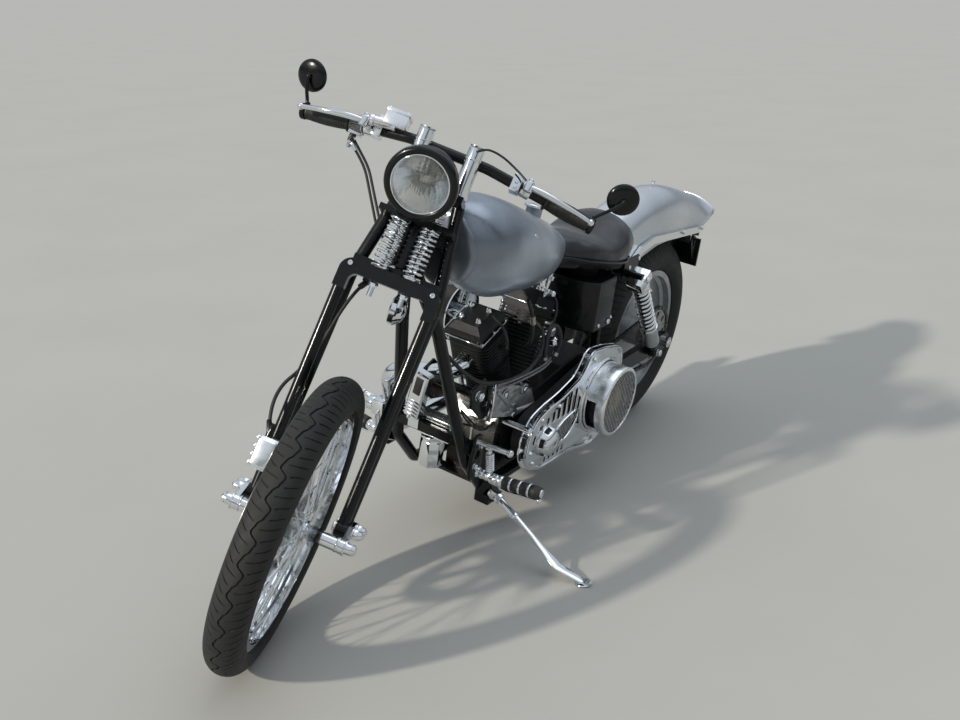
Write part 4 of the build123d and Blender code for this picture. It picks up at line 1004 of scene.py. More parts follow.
bar_slope = (BAR_END - BAR_BEND).normalized()
BLADE = [(196, 27, 888), (214, 33, 887.5), (250, 30, 885), (300, 17, 879), (340, 0, 875), (355, -7, 873)]
ball_line = [(-8.2, 0)] + [
    (8.2 * sin(a), 8.2 * cos(a)) for a in (-1.2, -0.8, -0.4, 0, 0.4, 0.8, 1.2)] + [(8.2, 0)]
for side, name, node_name in ((1, "left", "clutch_lever"), (-1, "right", "brake_lever")):
    pivot = on_fork(side * 200, 30, 888)
    parts = [
        clamp_band(side * 180, side * 204, 19),
        swept(
            [on_bar(side * 192) + Vector((0, -14, 0)), on_fork(side * 196, 18, 889), pivot], ring(1, 16),
            scales=[(12, 10), (11, 9), (12, 9)], lift=UP),
        lathe(barrel(0, 11, -12, 12, 1.5, 1.5), pivot, UP, 28), bolt(pivot + Vector((0, 0, 12)), UP, 11)]
    parts += [cap_screw(on_bar(side * 192) + Vector((0, -14, s * 10)), AHEAD, 3.4) for s in (-1, 1)]
    piece(node_name + "_perch", parts, FORK, chrome, [node_name], "fork", bevel=0.6)
    blade = curve_through([on_fork(side * x, ahead, z) for x, ahead, z in BLADE], 6)
    count = len(blade)
    scales = [(5.4 + 2.0 * sin(pi * min(1, i / count * 1.5)), 8.6 - 2.6 * i / count) for i in range(count)]
    lever = [
        swept(blade, ring(1, 20), scales=scales, lift=UP),
        lathe(ball_line, on_fork(side * 357, -8, 873), (side, 0, 0), 24)]
    piece(node_name + "_blade", lever, FORK, chrome, body="fork", crisp=50)

housing = [
    block_at((-133, -14, 917), (52, 52, 30)), block_at((-133, -14, 935), (56, 56, 7)),
    block_at((-150, -16, 906), (40, 26, 22)), block_at(on_bar(-172) + Vector((0, -2, 2)), (20, 40, 42)),
    lathe(
        [(0, 0), (0, 11), (40, 11), (42, 13), (50, 13), (52, 9), (52, 0)], (-140, -22, 905), (-1, 0, -0.12),
        28)]
housing += [cap_screw((-133 + s * 21, -14 + t * 20, 938.4), UP, 3.4) for s in (-1, 1) for t in (-1, 1)]
piece("brake_reservoir", housing, FORK, satin_chrome, body="fork", bevel=2.2)
switches = [block_at(on_bar(168) + Vector((0, -2, 1)), (22, 38, 42))]
switches += [
    lathe([(0, 0), (0, 4.5), (4, 4.5), (5, 3.5), (5, 0)], on_bar(168) + Vector((0, -21, z)), AHEAD, 16)
    for z in (-9, 3)]
piece("switch_housing_left", switches, FORK, chrome, body="fork", bevel=1.8)
twist = [
    clamp_band(-206, -239, 22), block_at(on_bar(-222) + Vector((0, 2, -14)), (30, 26, 22)),
    lathe([(0, 5.5), (0, 8.5), (14, 8.5), (16, 6), (26, 5)], on_fork(-226, -34, 858), (-0.02, 0.1, -1), 20),
    lathe([(0, 3.5), (0, 5.5), (26, 4.6), (26, 3)], on_fork(-225, -36, 846), (0.76, -0.05, -0.65), 16)]
piece("throttle_housing", twist, FORK, chrome, body="fork", bevel=1.0)
caps = []
for side in (-1, 1):
    caps += [
        lathe(
            [(0, 0), (0, 14), (3, 17.2), (6, 19.3), (7.5, 19.3), (8, 17), (8, 0)],
            (side * 60.6, -29.3, 922), (0, -0.13, 0.99), 36),
        lathe(
            [(0, 0), (0, 11.6), (4, 11.6), (5.5, 9), (5.5, 4.6), (2.5, 4.4), (2.5, 0)],
            (side * 60.6, 26, 919), UP, 24),
        lathe([(0, 19.6), (2.5, 19.9), (5, 19.6)], (side * 60.6, -13.6, 812), (0, -0.135, 0.99), 36),
        lathe([(0, 19.5), (2, 20.1), (4, 19.5)], (side * 60.6, -25.4, 896), (0, -0.135, 0.99), 36)]
cable = hose(
    [(64, -50, 914), (86, -38, 930), (120, -24, 930), (160, -18, 916), (190, -24, 900), (206, -32, 890)],
    2.6, 10)
piece("clutch_cable", cable, FORK, rubber, body="fork")
piece("riser_caps", caps, FORK, chrome, body="fork", crisp=40)
print("bar controls placed")

# %% [markdown]
# ## Mirrors
# Each mirror is a small steel dish, domed and black on its back, on a bent stalk with a ball joint.
# The glass looks back at the rider.

# %% Mirrors
MIRROR_X = {"left": 407, "right": 376}
collar = [(0, 0), (0, 18), (1.5, 19), (11, 19), (12.5, 17), (12.5, 0)]
for side, name in SIDES:
    middle = on_fork(side * MIRROR_X[name], -60, 960)
    facing = Vector((0.25 * side, -cos(RAKE), -sin(RAKE))).normalized()
    dish = [
        (-6, 36.4), (-6.4, 37.6), (-5, 38.4), (-1, 38.2), (2, 36.8), (4.8, 32), (7.2, 24), (8.8, 16),
        (9.6, 9), (10, 0)]
    clamp = on_bar(side * 359)
    elbow = clamp + Vector((side * 5, 1, 26))
    reach = middle + facing * 15
    bend = [clamp + Vector((0, 0, 12)), elbow, elbow.lerp(reach, 0.5) + Vector((side * 3, 0, 1)), reach]
    joint = [(7 * sin(a), 7 * cos(a)) for a in (-1.57, -1.1, -0.6, 0, 0.6, 1.1, 1.57)]
    stalk = [
        lathe(dish, middle, facing, 64), hose(bend, 4.3, 14, 6),
        lathe(joint, reach - facing * 3, facing, 20),
        lathe(collar, on_bar(side * 353), (side * bar_slope.x, bar_slope.y, bar_slope.z)),
        lathe([(-3, 0), (-3, 6), (10, 5), (10, 0)], clamp + Vector((0, 0, 13)), UP, 16)]
    piece("mirror_dish_" + name, stalk, FORK, enamel, ["mirror_" + name], "fork", crisp=40)
    piece(
        "mirror_face_" + name,
        lathe([(-6.2, 0), (-6.2, 35), (-5.4, 36.4), (-4.5, 36.4)], middle, facing, 64), FORK, silvered,
        body="fork")
print("mirrors", len(MIRROR_X))

# %% [markdown]
# ## Front brake caliper
# The caliper is two satin halves bolted together over the disc, with one bridge between their tops
# and a black banjo bolt where the hose arrives. Each half is a bevelled plate, and the outer one
# carries four ribs, so the light catches its steps. The hose keeps to its route in the CAD.

# %% Caliper
def body_outline(low, high, back_edge, front_edge):
    """A rectangle with its corners cut, as a plate outline."""
    c = min(9, (high - low) / 4)
    return [
        (back_edge, low + c), (back_edge + c, low), (front_edge - c, low), (front_edge, low + c),
        (front_edge, high - c), (front_edge - c, high), (back_edge + c, high), (back_edge, high - c)]


halves = [
    plate([body_outline(84, 158, -97, -43)], -126, -86, 3.0),
    plate([body_outline(84, 158, -97, -43)], -61, -52.5, 2.0)]
halves += [plate([body_outline(h, h + 11, -95, -45)], -131.5, -124, 1.6) for h in (88, 107, 126, 145)]
halves.append(block_at((-77, -70, 153), (50, 46, 10)))
halves += [cap_screw((-127, y, z), RIGHT, 5.5) for y, z in ((-88, 150), (-52, 150), (-88, 92), (-52, 92))]
halves.append(block_at((-118, -40, 115), (14, 14, 44)))
piece("caliper_halves", halves, FORK, satin_chrome, ["caliper"], "fork", bevel=1.2)
banjo = [
    lathe([(0, 0), (0, 8), (9, 8), (9, 6), (17, 6), (17, 9), (25, 8), (26, 0)], (-112, -78, 158), UP, 20),
    lathe([(0, 4.5), (0, 6.5), (26, 6), (30, 4.6)], (-113.5, -77.5, 166), (-0.42, 0.09, 0.9), 18),
    bolt((-112, -78, 181), UP, 12)]
piece("banjo_fitting", banjo, FORK, enamel, body="fork", crisp=40)
brake_parts = [
    routed([(-112, -78, 164), (-150, -70, 240), (-104, 2, 345), (-82, 0, 520), (-58, 10, 562)], 4.1),
    lathe(
        [(-14, 0), (-14, 6.4), (-9, 7.2), (9, 7.2), (11, 5.6), (14, 5.6), (14, 0)], (-63, 7.5, 551),
        (0.5, 0.2, 0.84), 16)]
piece("brake_line_hose", brake_parts, FORK, rubber, ["brake_hose"], "fork", crisp=40)
piece("brake_line_union", block_at((-58, 10, 566), (23, 27, 20)), FORK, enamel, body="fork", bevel=2.0)
print("caliper shapes", len(halves))

# %% [markdown]
# ## Solo seat
# The seat is moulded foam on a steel pan under one vinyl cover. It dips where the rider sits and
# kicks up at the rear. Its shape starts from the CAD's own cross sections, drawn a little slim, so
# that the next step can fill it.

# %% Sections of the seat
def arc_points(a, b, c, steps):
    """Points on the circle through a, b and c, from a almost to c. As complex numbers they turn by
    a plain product."""
    a, b, c = complex(*a), complex(*b), complex(*c)
    p, q = b - a, c - a
    centre = a + (abs(p) ** 2 * q - abs(q) ** 2 * p) / (p.conjugate() * q - p * q.conjugate())
    sweep = phase((c - centre) / (a - centre)) % (2 * pi)
    points = [centre + (a - centre) * rect(1, sweep * k / steps) for k in range(steps)]
    return [(point.real, point.imag) for point in points]


def seat_ring(row, slim, floor_lift):
    """One closed section: flat base, two side arcs and a top arc."""
    y, zb, wb, w, zm, wt, zt, zc = row
    wb, w, wt = wb - slim, w - slim, wt - slim
    zb, zt, zc = zb + floor_lift, zt - slim, zc - slim
    ring_points = [(-wb + 2 * wb * k / 8, zb) for k in range(8)]
    ring_points += arc_points((wb, zb), (w, zm), (wt, zt), 8)
    ring_points += arc_points((wt, zt), (0, zc), (-wt, zt), 12)
    ring_points += arc_points((-wt, zt), (-w, zm), (-wb, zb), 8)
    return [(x, y, z) for x, z in ring_points]


def eased(rows, y):
    """Section between the given ones, smoothly."""
    for i in range(len(rows) - 1):
        if rows[i][0] <= y <= rows[i + 1][0]:
            t = (y - rows[i][0]) / (rows[i + 1][0] - rows[i][0])
            around = (rows[max(i - 1, 0)], rows[i], rows[i + 1], rows[min(i + 2, len(rows) - 1)])
            return [y] + [between(*column, t) for column in list(zip(*around))[1:]]
    return rows[-1]


# Columns: y, base z, base half width, half width, its z, top half width, its z, crown z
seat_rows = [
    (-650, 722, 30, 50, 745, 36, 767, 775), (-569, 708, 88, 116, 734, 86, 766, 776),
    (-470, 688, 112, 138, 716, 108, 750, 762), (-390, 672, 112, 134, 706, 104, 776, 794),
    (-328, 664, 86, 116, 708, 84, 780, 802)]
SEAT_NOSE, SEAT_TAIL, SEAT_STEPS = -648, -328, 30
stations = [SEAT_NOSE + (SEAT_TAIL - SEAT_NOSE) * k / SEAT_STEPS for k in range(SEAT_STEPS + 1)]
loops = [seat_ring(eased(seat_rows, y), 5.0, 3.0) for y in stations]
cushion = piece("seat_cushion", skinned(loops), CHASSIS, vinyl, ["seat"], crisp=180)
print("seat sections", len(loops))

# %% [markdown]
# ## Foam under the cover
# Foam stretches its cover evenly, which drawn sections can't show. Cloth with pressure inside does,
# while the points on the steel pan stay pinned. The remesh gives the cloth even faces to bend.

# %% Fill the cushion with cloth pressure
VOXEL, PRESSURE, MOST_SWELL, FRAMES = 5.5 * MM, 4.0, 7.0 * MM, 20
remesh = cushion.modifiers.new("voxels", "REMESH")
remesh.mode, remesh.voxel_size = "VOXEL", VOXEL
bpy.context.view_layer.objects.active = cushion
bpy.ops.object.modifier_apply(modifier="voxels")
rest_shape = [v.co.copy() for v in cushion.data.vertices]
PAN_REAR_Y, PAN_TOP, PAN_SLOPE = -390, 688, 0.15
to_board = CHASSIS.inverted()


def on_pan(vertex):
    """True where the foam is glued to its pan, which rises towards the front."""
    drawn = to_board @ vertex.co
    return drawn.z < PAN_TOP + PAN_SLOPE * (PAN_REAR_Y - drawn.y)


pinned = cushion.vertex_groups.new(name="pan")
pinned.add([v.index for v in cushion.data.vertices if on_pan(v)], 1.0, "REPLACE")
cloth = cushion.modifiers.new("foam", "CLOTH")
cloth.settings.use_pressure = True
cloth.settings.uniform_pressure_force = PRESSURE
cloth.settings.effector_weights.gravity = 0
cloth.settings.vertex_group_mass = "pan"
cloth.settings.quality = 5
cloth.settings.tension_stiffness = cloth.settings.compression_stiffness = 25
cloth.settings.bending_stiffness = 2
for step in range(1, FRAMES + 1):
    bpy.context.scene.frame_set(step)
swollen = bpy.data.meshes.new_from_object(cushion.evaluated_get(bpy.context.evaluated_depsgraph_get()))
cushion.modifiers.remove(cloth)
for vertex, start, end in zip(cushion.data.vertices, rest_shape, swollen.vertices):
    push = end.co - start
    vertex.co = start + push * min(1.0, MOST_SWELL / max(push.length, 1e-9))
bpy.data.meshes.remove(swollen)
bpy.context.scene.frame_set(1)
soften = cushion.modifiers.new("soften", "SMOOTH")
soften.factor, soften.iterations = 0.5, 14
bpy.ops.object.modifier_apply(modifier="soften")
smooth = cushion.modifiers.new("smooth", "SUBSURF")
smooth.levels = smooth.render_levels = 1
cushion.data.shade_smooth()
print("cushion faces", len(cushion.data.polygons))

# %% [markdown]
# ## Piping and skirt
# A welt runs along the seam, and a rubber skirt hides the pan. Both follow the seat's sections, as
# pieces of their own, because the remesh would wipe them away.

# %% Piping and skirt
def seat_edge(at, out=0.0, count=34):
    """Points round the seat at a share of its section height, out beyond its side."""
    side = []
    for k in range(count + 1):
        y = SEAT_NOSE + 2 + (SEAT_TAIL - SEAT_NOSE - 4) * k / count
        _, zb, wb, w, zm, wt, zt, zc = eased(seat_rows, y)
        z = zb + (zm - zb) * at
        wide = wb + (w - wb) * (1 - (1 - at) ** 2)
        side.append((wide + out, y, z))
    tail = side[-1]
    end_arc = [
        (tail[0] * cos(a), tail[1] + 14 * sin(a), tail[2] + 2 * sin(a))
        for a in [pi * k / 12 for k in range(1, 12)]]
    nose = side[0]
    nose_arc = [(-nose[0] * cos(a), nose[1] - 8 * sin(a), nose[2]) for a in [pi * k / 8 for k in range(1, 8)]]
    return side + end_arc + [(-x, y, z) for x, y, z in reversed(side)] + nose_arc


piping = swept(seat_edge(0.32, 1.2), ring(2.6, 10), closed=True)
piece("seat_piping", piping, CHASSIS, vinyl, crisp=180)
skirt_top, skirt_low = seat_edge(0.3, -1.5), [(x * 0.965, y, z - 15) for x, y, z in seat_edge(0.0, -1.5)]
inner_low = [(x * 0.9, y, z) for x, y, z in skirt_low]
piece(
    "seat_pan_skirt", skinned([skirt_top, skirt_low, inner_low], ends=()), CHASSIS, rubber,
    crisp=60)
print("piping points", len(skirt_top))

# %% [markdown]
# ## Tank, fender and struts
# The tank keeps its CAD shell, and a pressed dome closes its front. It gains a plated cap, two
# mounting screws and a fuel tap. The fender's raw edge is rolled round a wire, so a thin bead
# follows it. The bracket under its tail is bent black sheet.

# %% Tank and fender trim
cap_line = [(0, 0), (0, 23), (2, 24.5), (6, 24.5), (8, 22.5), (10, 15), (11.5, 6), (12, 0)]
tank_trim = [lathe(cap_line, (0, -765, 881), (0, 0.276, 0.961), 40)]
tank_trim += [cap_screw((s * 121, -950, 872), (s * 0.86, 0, 0.5), 5.5) for s in (-1, 1)]
piece("tank_cap", tank_trim, CHASSIS, chrome, bevel=0.4)


def tank_ring(y, size):
    """The tank's front section shrunk about its middle."""
    base, half_base, half, side_z, half_top, top_z, crown = 776, 48, 92, 856, 54, 930, 952
    section = [(-half_base + half_base * k / 4, base) for k in range(8)]
    section += arc_points((half_base, base), (half, side_z), (half_top, top_z), 10)
    section += arc_points((half_top, top_z), (0, crown), (-half_top, top_z), 10)
    section += arc_points((-half_top, top_z), (-half, side_z), (-half_base, base), 10)
    return [(x * size, y, 866 + (z - 866) * size) for x, z in section]


NOSE = [
    (-1155, 0.998), (-1160, 1.0), (-1164, 0.985), (-1168, 0.94), (-1171, 0.87), (-1173.5, 0.76),
    (-1175.5, 0.58), (-1176.8, 0.3)]
nose = skinned([tank_ring(y, size) for y, size in NOSE], ends=(-1,))
piece("tank_nose", nose, CHASSIS, tank_primer, crisp=180)
tap = [
    lathe(
        [(-4, 0), (-4, 11), (8, 11), (10, 8), (26, 7), (30, 9), (38, 9), (40, 6), (40, 0)], (58, -760, 704),
        (0.1, 0, -1), 24),
    lathe([(0, 0), (0, 4), (26, 3.4), (26, 0)], (58, -760, 672), (1, -0.2, -0.1), 14)]
piece("fuel_tap", tap, CHASSIS, chrome)
fender_lip = [
    (x, 301, z)
    for x, z in [(98, 692)] + arc_points((98, 708), (0, 742), (-98, 708), 24) + [(-98, 708), (-98, 692)]]
bead = [swept(fender_lip, ring(3.4, 10))]
# The fender's edge as y, half width and z
FENDER_EDGE = [
    (-316, 90, 647), (-210, 90, 655), (-100, 90, 664), (60, 90, 664), (130, 90, 658), (200, 90, 653),
    (250, 94, 671), (300, 98, 691)]
for s in (-1, 1):
    bead.append(swept([(s * (w - 2), y, z + 0.5) for y, w, z in FENDER_EDGE], ring(2.4, 8)))
piece("fender_bead", bead, CHASSIS, fender_primer, crisp=60)
strut_bolts = []
for s in (-1, 1):
    strut_bolts += [
        bolt((s * 100, y, z), (s, 0, 0), 13) for y, z in ((-320, 643), (-262, 660), (60, 678), (215, 662))]
strut_bolts.append(lathe([(0, 0), (0, 5), (9, 5), (12, 3), (13, 0)], (0, -15, 826), UP, 16))
piece("strut_bolts", strut_bolts, CHASSIS, chrome, bevel=0.3)
side_outline = [(214, 639), (262, 606), (269, 606), (269, 512), (262, 512), (214, 597)]
bracket = [plate([side_outline, slot_loop(236, 588, 236, 600, 5)], s * 73, s * 77, 0.6) for s in (-1, 1)]
bracket += [box(-89, 89, 261, 269.5, 510.5, 607), box(-71, 71, 213, 263, 598.8, 607.2)]
piece("plate_bracket", bracket, CHASSIS, enamel, bevel=1.5)
print("strut bolts", len(strut_bolts))

# %% [markdown]
# ## Oil tank
# The oil tank is folded and welded sheet with eight upright faces under satin enamel. What sells
# folded sheet is the soft radius at each fold, so this copy of the CAD form has 5 mm rounded edges.
# A filler cap, a drain plug and two bolts sit on it.

# %% Oil tank
tank_plan = [
    (80, -572), (130, -548), (130, -446), (90, -420), (-90, -420), (-130, -446), (-130, -548), (-80, -572)]
oil_shape = skinned([[(x, y, z) for x, y in tank_plan] for z in (502, 652)])
oil_shell = piece("oil_tank_shell", oil_shape, CHASSIS, enamel, ["oil_tank"], bevel=5.0)
oil_shell.modifiers["rounding"].segments = 4
fittings = [
    lathe([(0, 0), (0, 15), (5, 15), (7, 13), (7, 0)], (-90, -500, 652), UP, 8),
    bolt((128.6, -470, 520), LEFT, 15), bolt((128.6, -525, 520), LEFT, 11),
    lathe([(0, 0), (0, 6), (16, 6), (18, 4), (18, 0)], (110, -434, 516), (0.5, 0.85, 0), 12)]
piece("oil_tank_fittings", fittings, CHASSIS, chrome, bevel=0.4)
print("oil tank faces", len(oil_shape[1]))

# %% [markdown]
# ## Shock absorbers
# Each shock is a damper with a chrome spring round it, a chrome box cover at the top and a black
# rubber-bushed eye at the foot. The spring is a wire helix again, wound wide enough to show the dark
# damper between its turns.

# %% Shocks
SHOCK_X, SHOCK_TOP, SHOCK_FOOT = 150.0, (-344.0, 632.0), (-118.0, 325.0)
for side, name in SIDES:
    top, foot = Vector((side * SHOCK_X, *SHOCK_TOP)), Vector((side * SHOCK_X, *SHOCK_FOOT))
    along = (top - foot).normalized()
    length = (top - foot).length
    stand = aim(foot, along, (side, 0, 0))
    bright = [
        moved(coil((0, 0), 138, length - 44, 22.2, 5.4, 9.5, hand=side), stand),
        lathe([(128, 10), (128, 26), (131, 28.5), (138, 28.5), (138, 10)], foot, along, 36),
        lathe(
            [(length - 44, 8), (length - 44, 28), (length - 38, 28.5), (length - 33, 26), (length - 33, 8)],
            foot, along, 36), moved(box(-25, 25, -33, 33, -31.5, 3.5), aim(top, along, (side, 0, 0))),
        bolt(top + Vector((side * 26, 0, 0)), (side, 0, 0), 17)]
    piece("shock_spring_" + name, bright, CHASSIS, chrome, ["shock_" + name], bevel=1.2)
    body_line = [(44, 0), (44, 18), (48, 22.5), (54, 25), (118, 25), (124, 22), (129, 22), (129, 0)]
    piece("shock_body_" + name, lathe(body_line, foot, along, 40), CHASSIS, wheel_silver, crisp=40)
    dark = [
        lathe(
            [(24, 0), (24, 13), (46, 13), (46, 15), (length - 42, 15), (length - 42, 0)], foot, along, 28),
        lathe(barrel(8.2, 18.5, -13, 13, 2, 1.5), foot, LEFT),
        lathe([(8, 10), (22, 14), (30, 14), (30, 0)], foot, along, 24)]
    piece("shock_damper_" + name, dark, CHASSIS, enamel, crisp=40)
    piece(
        "shock_eye_bolt_" + name, bolt(foot + Vector((side * 14.5, 0, 0)), (side, 0, 0), 19), CHASSIS,
        chrome)
print("shock length", round(length), "mm")

# %% [markdown]
# ## Engine: heads and barrels
# The CAD has the finned barrels and heads, the crankcase and the rocker boxes. Each head gets its
# square fins with round corners, and on top sit the bright things: cap screws, the rocker cover's
# edge, plugs with their leads, and pushrod collars. They are drawn on each cylinder's own axis,
# 22.5 degrees off upright, with one matrix for each cylinder.

# %% Boards for the two cylinders
# The crankshaft crosses the chassis board here
CRANK_Y, CRANK_Z = -815.0, 270.0
CRANK = Vector((0.0, CRANK_Y, CRANK_Z))
V_HALF = radians(22.5)
HEAD_SHIFT, HEAD_HALF, ROCKER_S, TOP_S = -14.0, 58.0, 316.0, 384.0
PUSHROD_X = HEAD_SHIFT - HEAD_HALF - 9


def cylinder_board(k):
    """Z up the cylinder, X to the left, for the front (-1) or rear (1) cylinder."""
    return CHASSIS @ aim(CRANK, (0, k * sin(V_HALF), cos(V_HALF)), LEFT)


FIRST_FIN, FIN_PITCH, HEAD_FINS = 246.6, 10.6, 8


def square_loop(centre, half, corner, steps=5):
    """A square with round corners, as a plate outline."""
    loop = []
    for turn in range(4):
        cx, cy = ((1, 1), (-1, 1), (-1, -1), (1, -1))[turn]
        for k in range(steps + 1):
            a = pi / 2 * (turn + k / steps)
            loop.append((
                centre + cx * (half - corner) + corner * cos(a), cy * (half - corner) + corner * sin(a)))
    return loop


upright = Matrix(((0, 1, 0, 0), (0, 0, 1, 0), (1, 0, 0, 0), (0, 0, 0, 1)))
for k, name in ((-1, "front"), (1, "rear")):
    top = cylinder_board(k)
    fins = []
    for i in range(HEAD_FINS):
        s = FIRST_FIN + FIN_PITCH * i
        fins.append(moved(
            plate([square_loop(HEAD_SHIFT, HEAD_HALF + 4.5, 26)], s - 1.9, s + 1.9, 0.7), upright))
    piece("head_fins_" + name, fins, top, fin_paint)
    bright = []
    for x in (-44, 44):
        for y in (-50, 0, 50):
            bright.append(cap_screw((HEAD_SHIFT - 10 + x * 1.4, y * 1.08, ROCKER_S + 25), UP, 4.4))
    bright += [acorn((HEAD_SHIFT + x, y, TOP_S), UP, 14) for x in (-26, 26) for y in (-24, 24)]
    trim = [
        (HEAD_SHIFT - 10 + x, y, ROCKER_S + 25.2) for x, y in ((-66, -60), (66, -60), (66, 60), (-66, 60))]
    bright.append(swept(trim, flat_bar(1.2, 1.2), closed=True, lift=UP))
    for n in (-20, 20):
        bright += [
            lathe(
                [(0, 7), (0, 11), (7, 11), (8, 9), (14, 9), (14, 7)], (PUSHROD_X, n, ROCKER_S + 4), UP, 20),
            lathe([(0, 7), (0, 10), (10, 10), (11, 11.5), (20, 11.5), (20, 7)], (PUSHROD_X, n, 92), UP, 20)]
    piece("rocker_hardware_" + name, bright, top, chrome, bevel=0.3)
    plug_base = Vector((HEAD_SHIFT + HEAD_HALF - 2, 8, 286))
    plug = [lathe([(-6, 0), (-6, 9), (0, 9), (0, 6), (8, 6), (8, 0)], plug_base, (1, 0, 0.35), 18)]
    piece("spark_plug_" + name, plug, top, steel)
    start = plug_base + Vector((6, 0, 2))
    lead_points = [
        start + Vector(step) for step in ((0, 0, 0), (14, 0, 7), (24, 0, 34), (14, 0, 78), (-14, 0, 104))]
    lead = [
        lathe([(0, 4), (0, 8), (20, 7), (24, 5), (24, 0)], start, (1, 0, 0.5), 18), hose(lead_points, 3.9)]
    piece("plug_lead_" + name, lead, top, rubber)

# %% [markdown]
# ## Engine: crankcase and mounts
# The two halves of the case meet in a raised polished joint with bolt bosses round it. In front of
# the case hangs the black mount plate with one big bolt. The joint and the mount are plates.

# %% Crankcase details
case = [plate([circle(CRANK_Y, CRANK_Z, 119, 72), circle(CRANK_Y, CRANK_Z, 108, 72)], -4, 4, 1.2)]
for turn in (35, 75, 115, 160, 205, 250, 290, 330):
    a = radians(turn)
    y, z = CRANK_Y + 122 * cos(a), CRANK_Z + 122 * sin(a)
    case += [lathe(barrel(0, 9, -14, 14, 2, 1), (0, y, z), LEFT, 20), bolt((14, y, z), LEFT, 11)]
case.append(lathe(
    [(0, 60), (0, 66), (3, 67), (5, 65), (5, 58), (3, 56), (3, 0)], (-72, CRANK_Y, CRANK_Z), RIGHT, 48))
piece("case_joint", case, CHASSIS, polished, bevel=0.5)

mount_outline = [
    (-1092, 478), (-1034, 500), (-1004, 470), (-1000, 424), (-968, 392), (-968, 366), (-1030, 380),
    (-1084, 430)]
mount = [
    plate([mount_outline, circle(-1020, 418, 9, 20)], 76, 83, 1.2), plate([mount_outline], -83, -76, 1.2),
    lathe(sleeve(0, 12, 0, 160), (-80, -1060, 458), LEFT, 20)]
piece("engine_mount_plates", mount, CHASSIS, enamel, bevel=0.8)
mount_bolts = [bolt((83, -1060, 458), LEFT, 22), bolt((-83, -1060, 458), RIGHT, 22)]
mount_bolts += [
    bolt(place, LEFT, 15) for place in ((83, -986, 392), (92, -943, 427), (92, -844, 411), (92, -890, 350))]
piece("mount_bolts", mount_bolts, CHASSIS, chrome, bevel=0.4)
print("mount bolts", len(mount_bolts))

# %% [markdown]
# ## Engine: boss casting
# A sand-cast plate with three round bosses ties the engine to the frame on the left. A thick plate
# with a wide bevel looks cast, and a polished strip follows its front edge.

# %% Boss casting on the left side
boss_outline = [(-1006, 376), (-1007, 462), (-990, 471), (-872, 430), (-796, 395), (-768, 344), (-858, 334)]
boss = [plate([boss_outline, circle(-943, 427, 11, 24), circle(-844, 411, 11, 24)], 82, 94.5, 4.0)]
boss += [
    lathe([(0, 11), (0, 17), (5, 16), (6, 14), (6, 11)], (93, y, z), LEFT, 28)
    for y, z in ((-943, 427), (-844, 411), (-890, 368))]
boss.append(swept([(94, -985, 446), (98, -930, 400), (95, -872, 352)], [(-6, -2), (6, -2), (3, 3), (-3, 3)]))
piece("boss_casting", boss, CHASSIS, sand_cast, bevel=1.2)
strip = swept(
    [(90, -1011, 372), (95, -1013, 420), (93, -1010, 468), (88, -1000, 480)], flat_bar(11, 3), lift=LEFT)
piece("boss_polished_strip", strip, CHASSIS, chrome, bevel=2.5)
print("boss shapes", len(boss))

# %% [markdown]
# ## Engine: hoses and wires
# Thin wires and braided lines pass in front of the engine, which is what makes an open one look
# busy. Each is a tube through a few chosen points, and steel collars close the hose ends.

# %% Hoses, braided lines and wires
oil_route = [
    (64, -1188, 600), (86, -1110, 512), (100, -960, 466), (100, -810, 466), (94, -752, 560),
    (20, -728, 566)]
piece("oil_feed_hose", routed(oil_route, 5.2), CHASSIS, rubber, ["oil_hose"])
braid_route = [(100, -1004, 484), (101, -930, 474), (102, -850, 470), (99, -770, 468), (92, -716, 472)]
lines = [hose([(x + d, y, z - e) for x, y, z in braid_route], 3.0, 10) for d, e in ((3, 8), (6, 16))]
piece("braided_lines", lines, CHASSIS, braid)
loop_centre = Vector((98, -728, 508))
loop_points = [
    loop_centre + Vector((4 * cos(a * 2), 40 * cos(a), 56 * sin(a)))
    for a in [radians(215 - 29 * k) for k in range(10)]]
ends = [
    hose(loop_points, 6.0, 14, 6),
    hose([(70, -845, 662), (76, -826, 620), (77, -812, 580), (74, -806, 536), (60, -800, 512)], 5.6, 14)]
piece("breather_hoses", ends, CHASSIS, rubber)
collars = [lathe(sleeve(5.6, 7.6, 0, 26), (76.6, -821, 612), (0.02, 0.33, -0.95), 20)]
collars += [
    lathe(sleeve(6, 8.5, 0, 10), loop_points[i], loop_points[j] - loop_points[i], 16)
    for i, j in ((0, 1), (9, 8))]
piece("hose_collars", collars, CHASSIS, steel)
wires = []
for k, (dy, dz) in enumerate(((0, 0), (7, -3), (13, 2), (20, -6))):
    path = [
        (66 - 4 * k, -1106 + dy, 420 + dz), (84, -1078 + dy, 380 + dz), (88 + k, -1034 + dy, 352 + dz),
        (80, -985 + dy, 340 - dz), (70, -950 + dy, 330)]
    wires.append(hose(path, 1.9, 8))
wires.append(hose(
    [(-40, -1150, 420), (10, -1128, 404), (60, -1098, 386), (86, -1060, 372), (80, -1010, 350)], 3.4, 10))
piece("loose_wires", wires, CHASSIS, rubber)
bracket_bits = [
    plate([[(-742, 640), (-716, 640), (-704, 700), (-724, 706)]], 56, 60, 0.8),
    lathe([(0, 0), (0, 9), (20, 9), (24, 6), (24, 0)], (60, -728, 652), LEFT, 20),
    bolt((60, -718, 690), LEFT, 12),
    lathe([(0, 0), (0, 15), (16, 15), (19, 12), (24, 11), (24, 0)], (74, -690, 500), (1, 0, 0.2), 28)]
piece("top_mount_bracket", bracket_bits, CHASSIS, chrome, bevel=0.6)
print("lines", len(lines) + len(ends) + len(wires))

# %% [markdown]
# ## Cooler, filter and regulator
# The oil cooler is a stack of black fins with bright cut edges over a plain core. The chrome filter
# hangs under it with eight flats for a wrench. The regulator is a chromed box with a black inset.

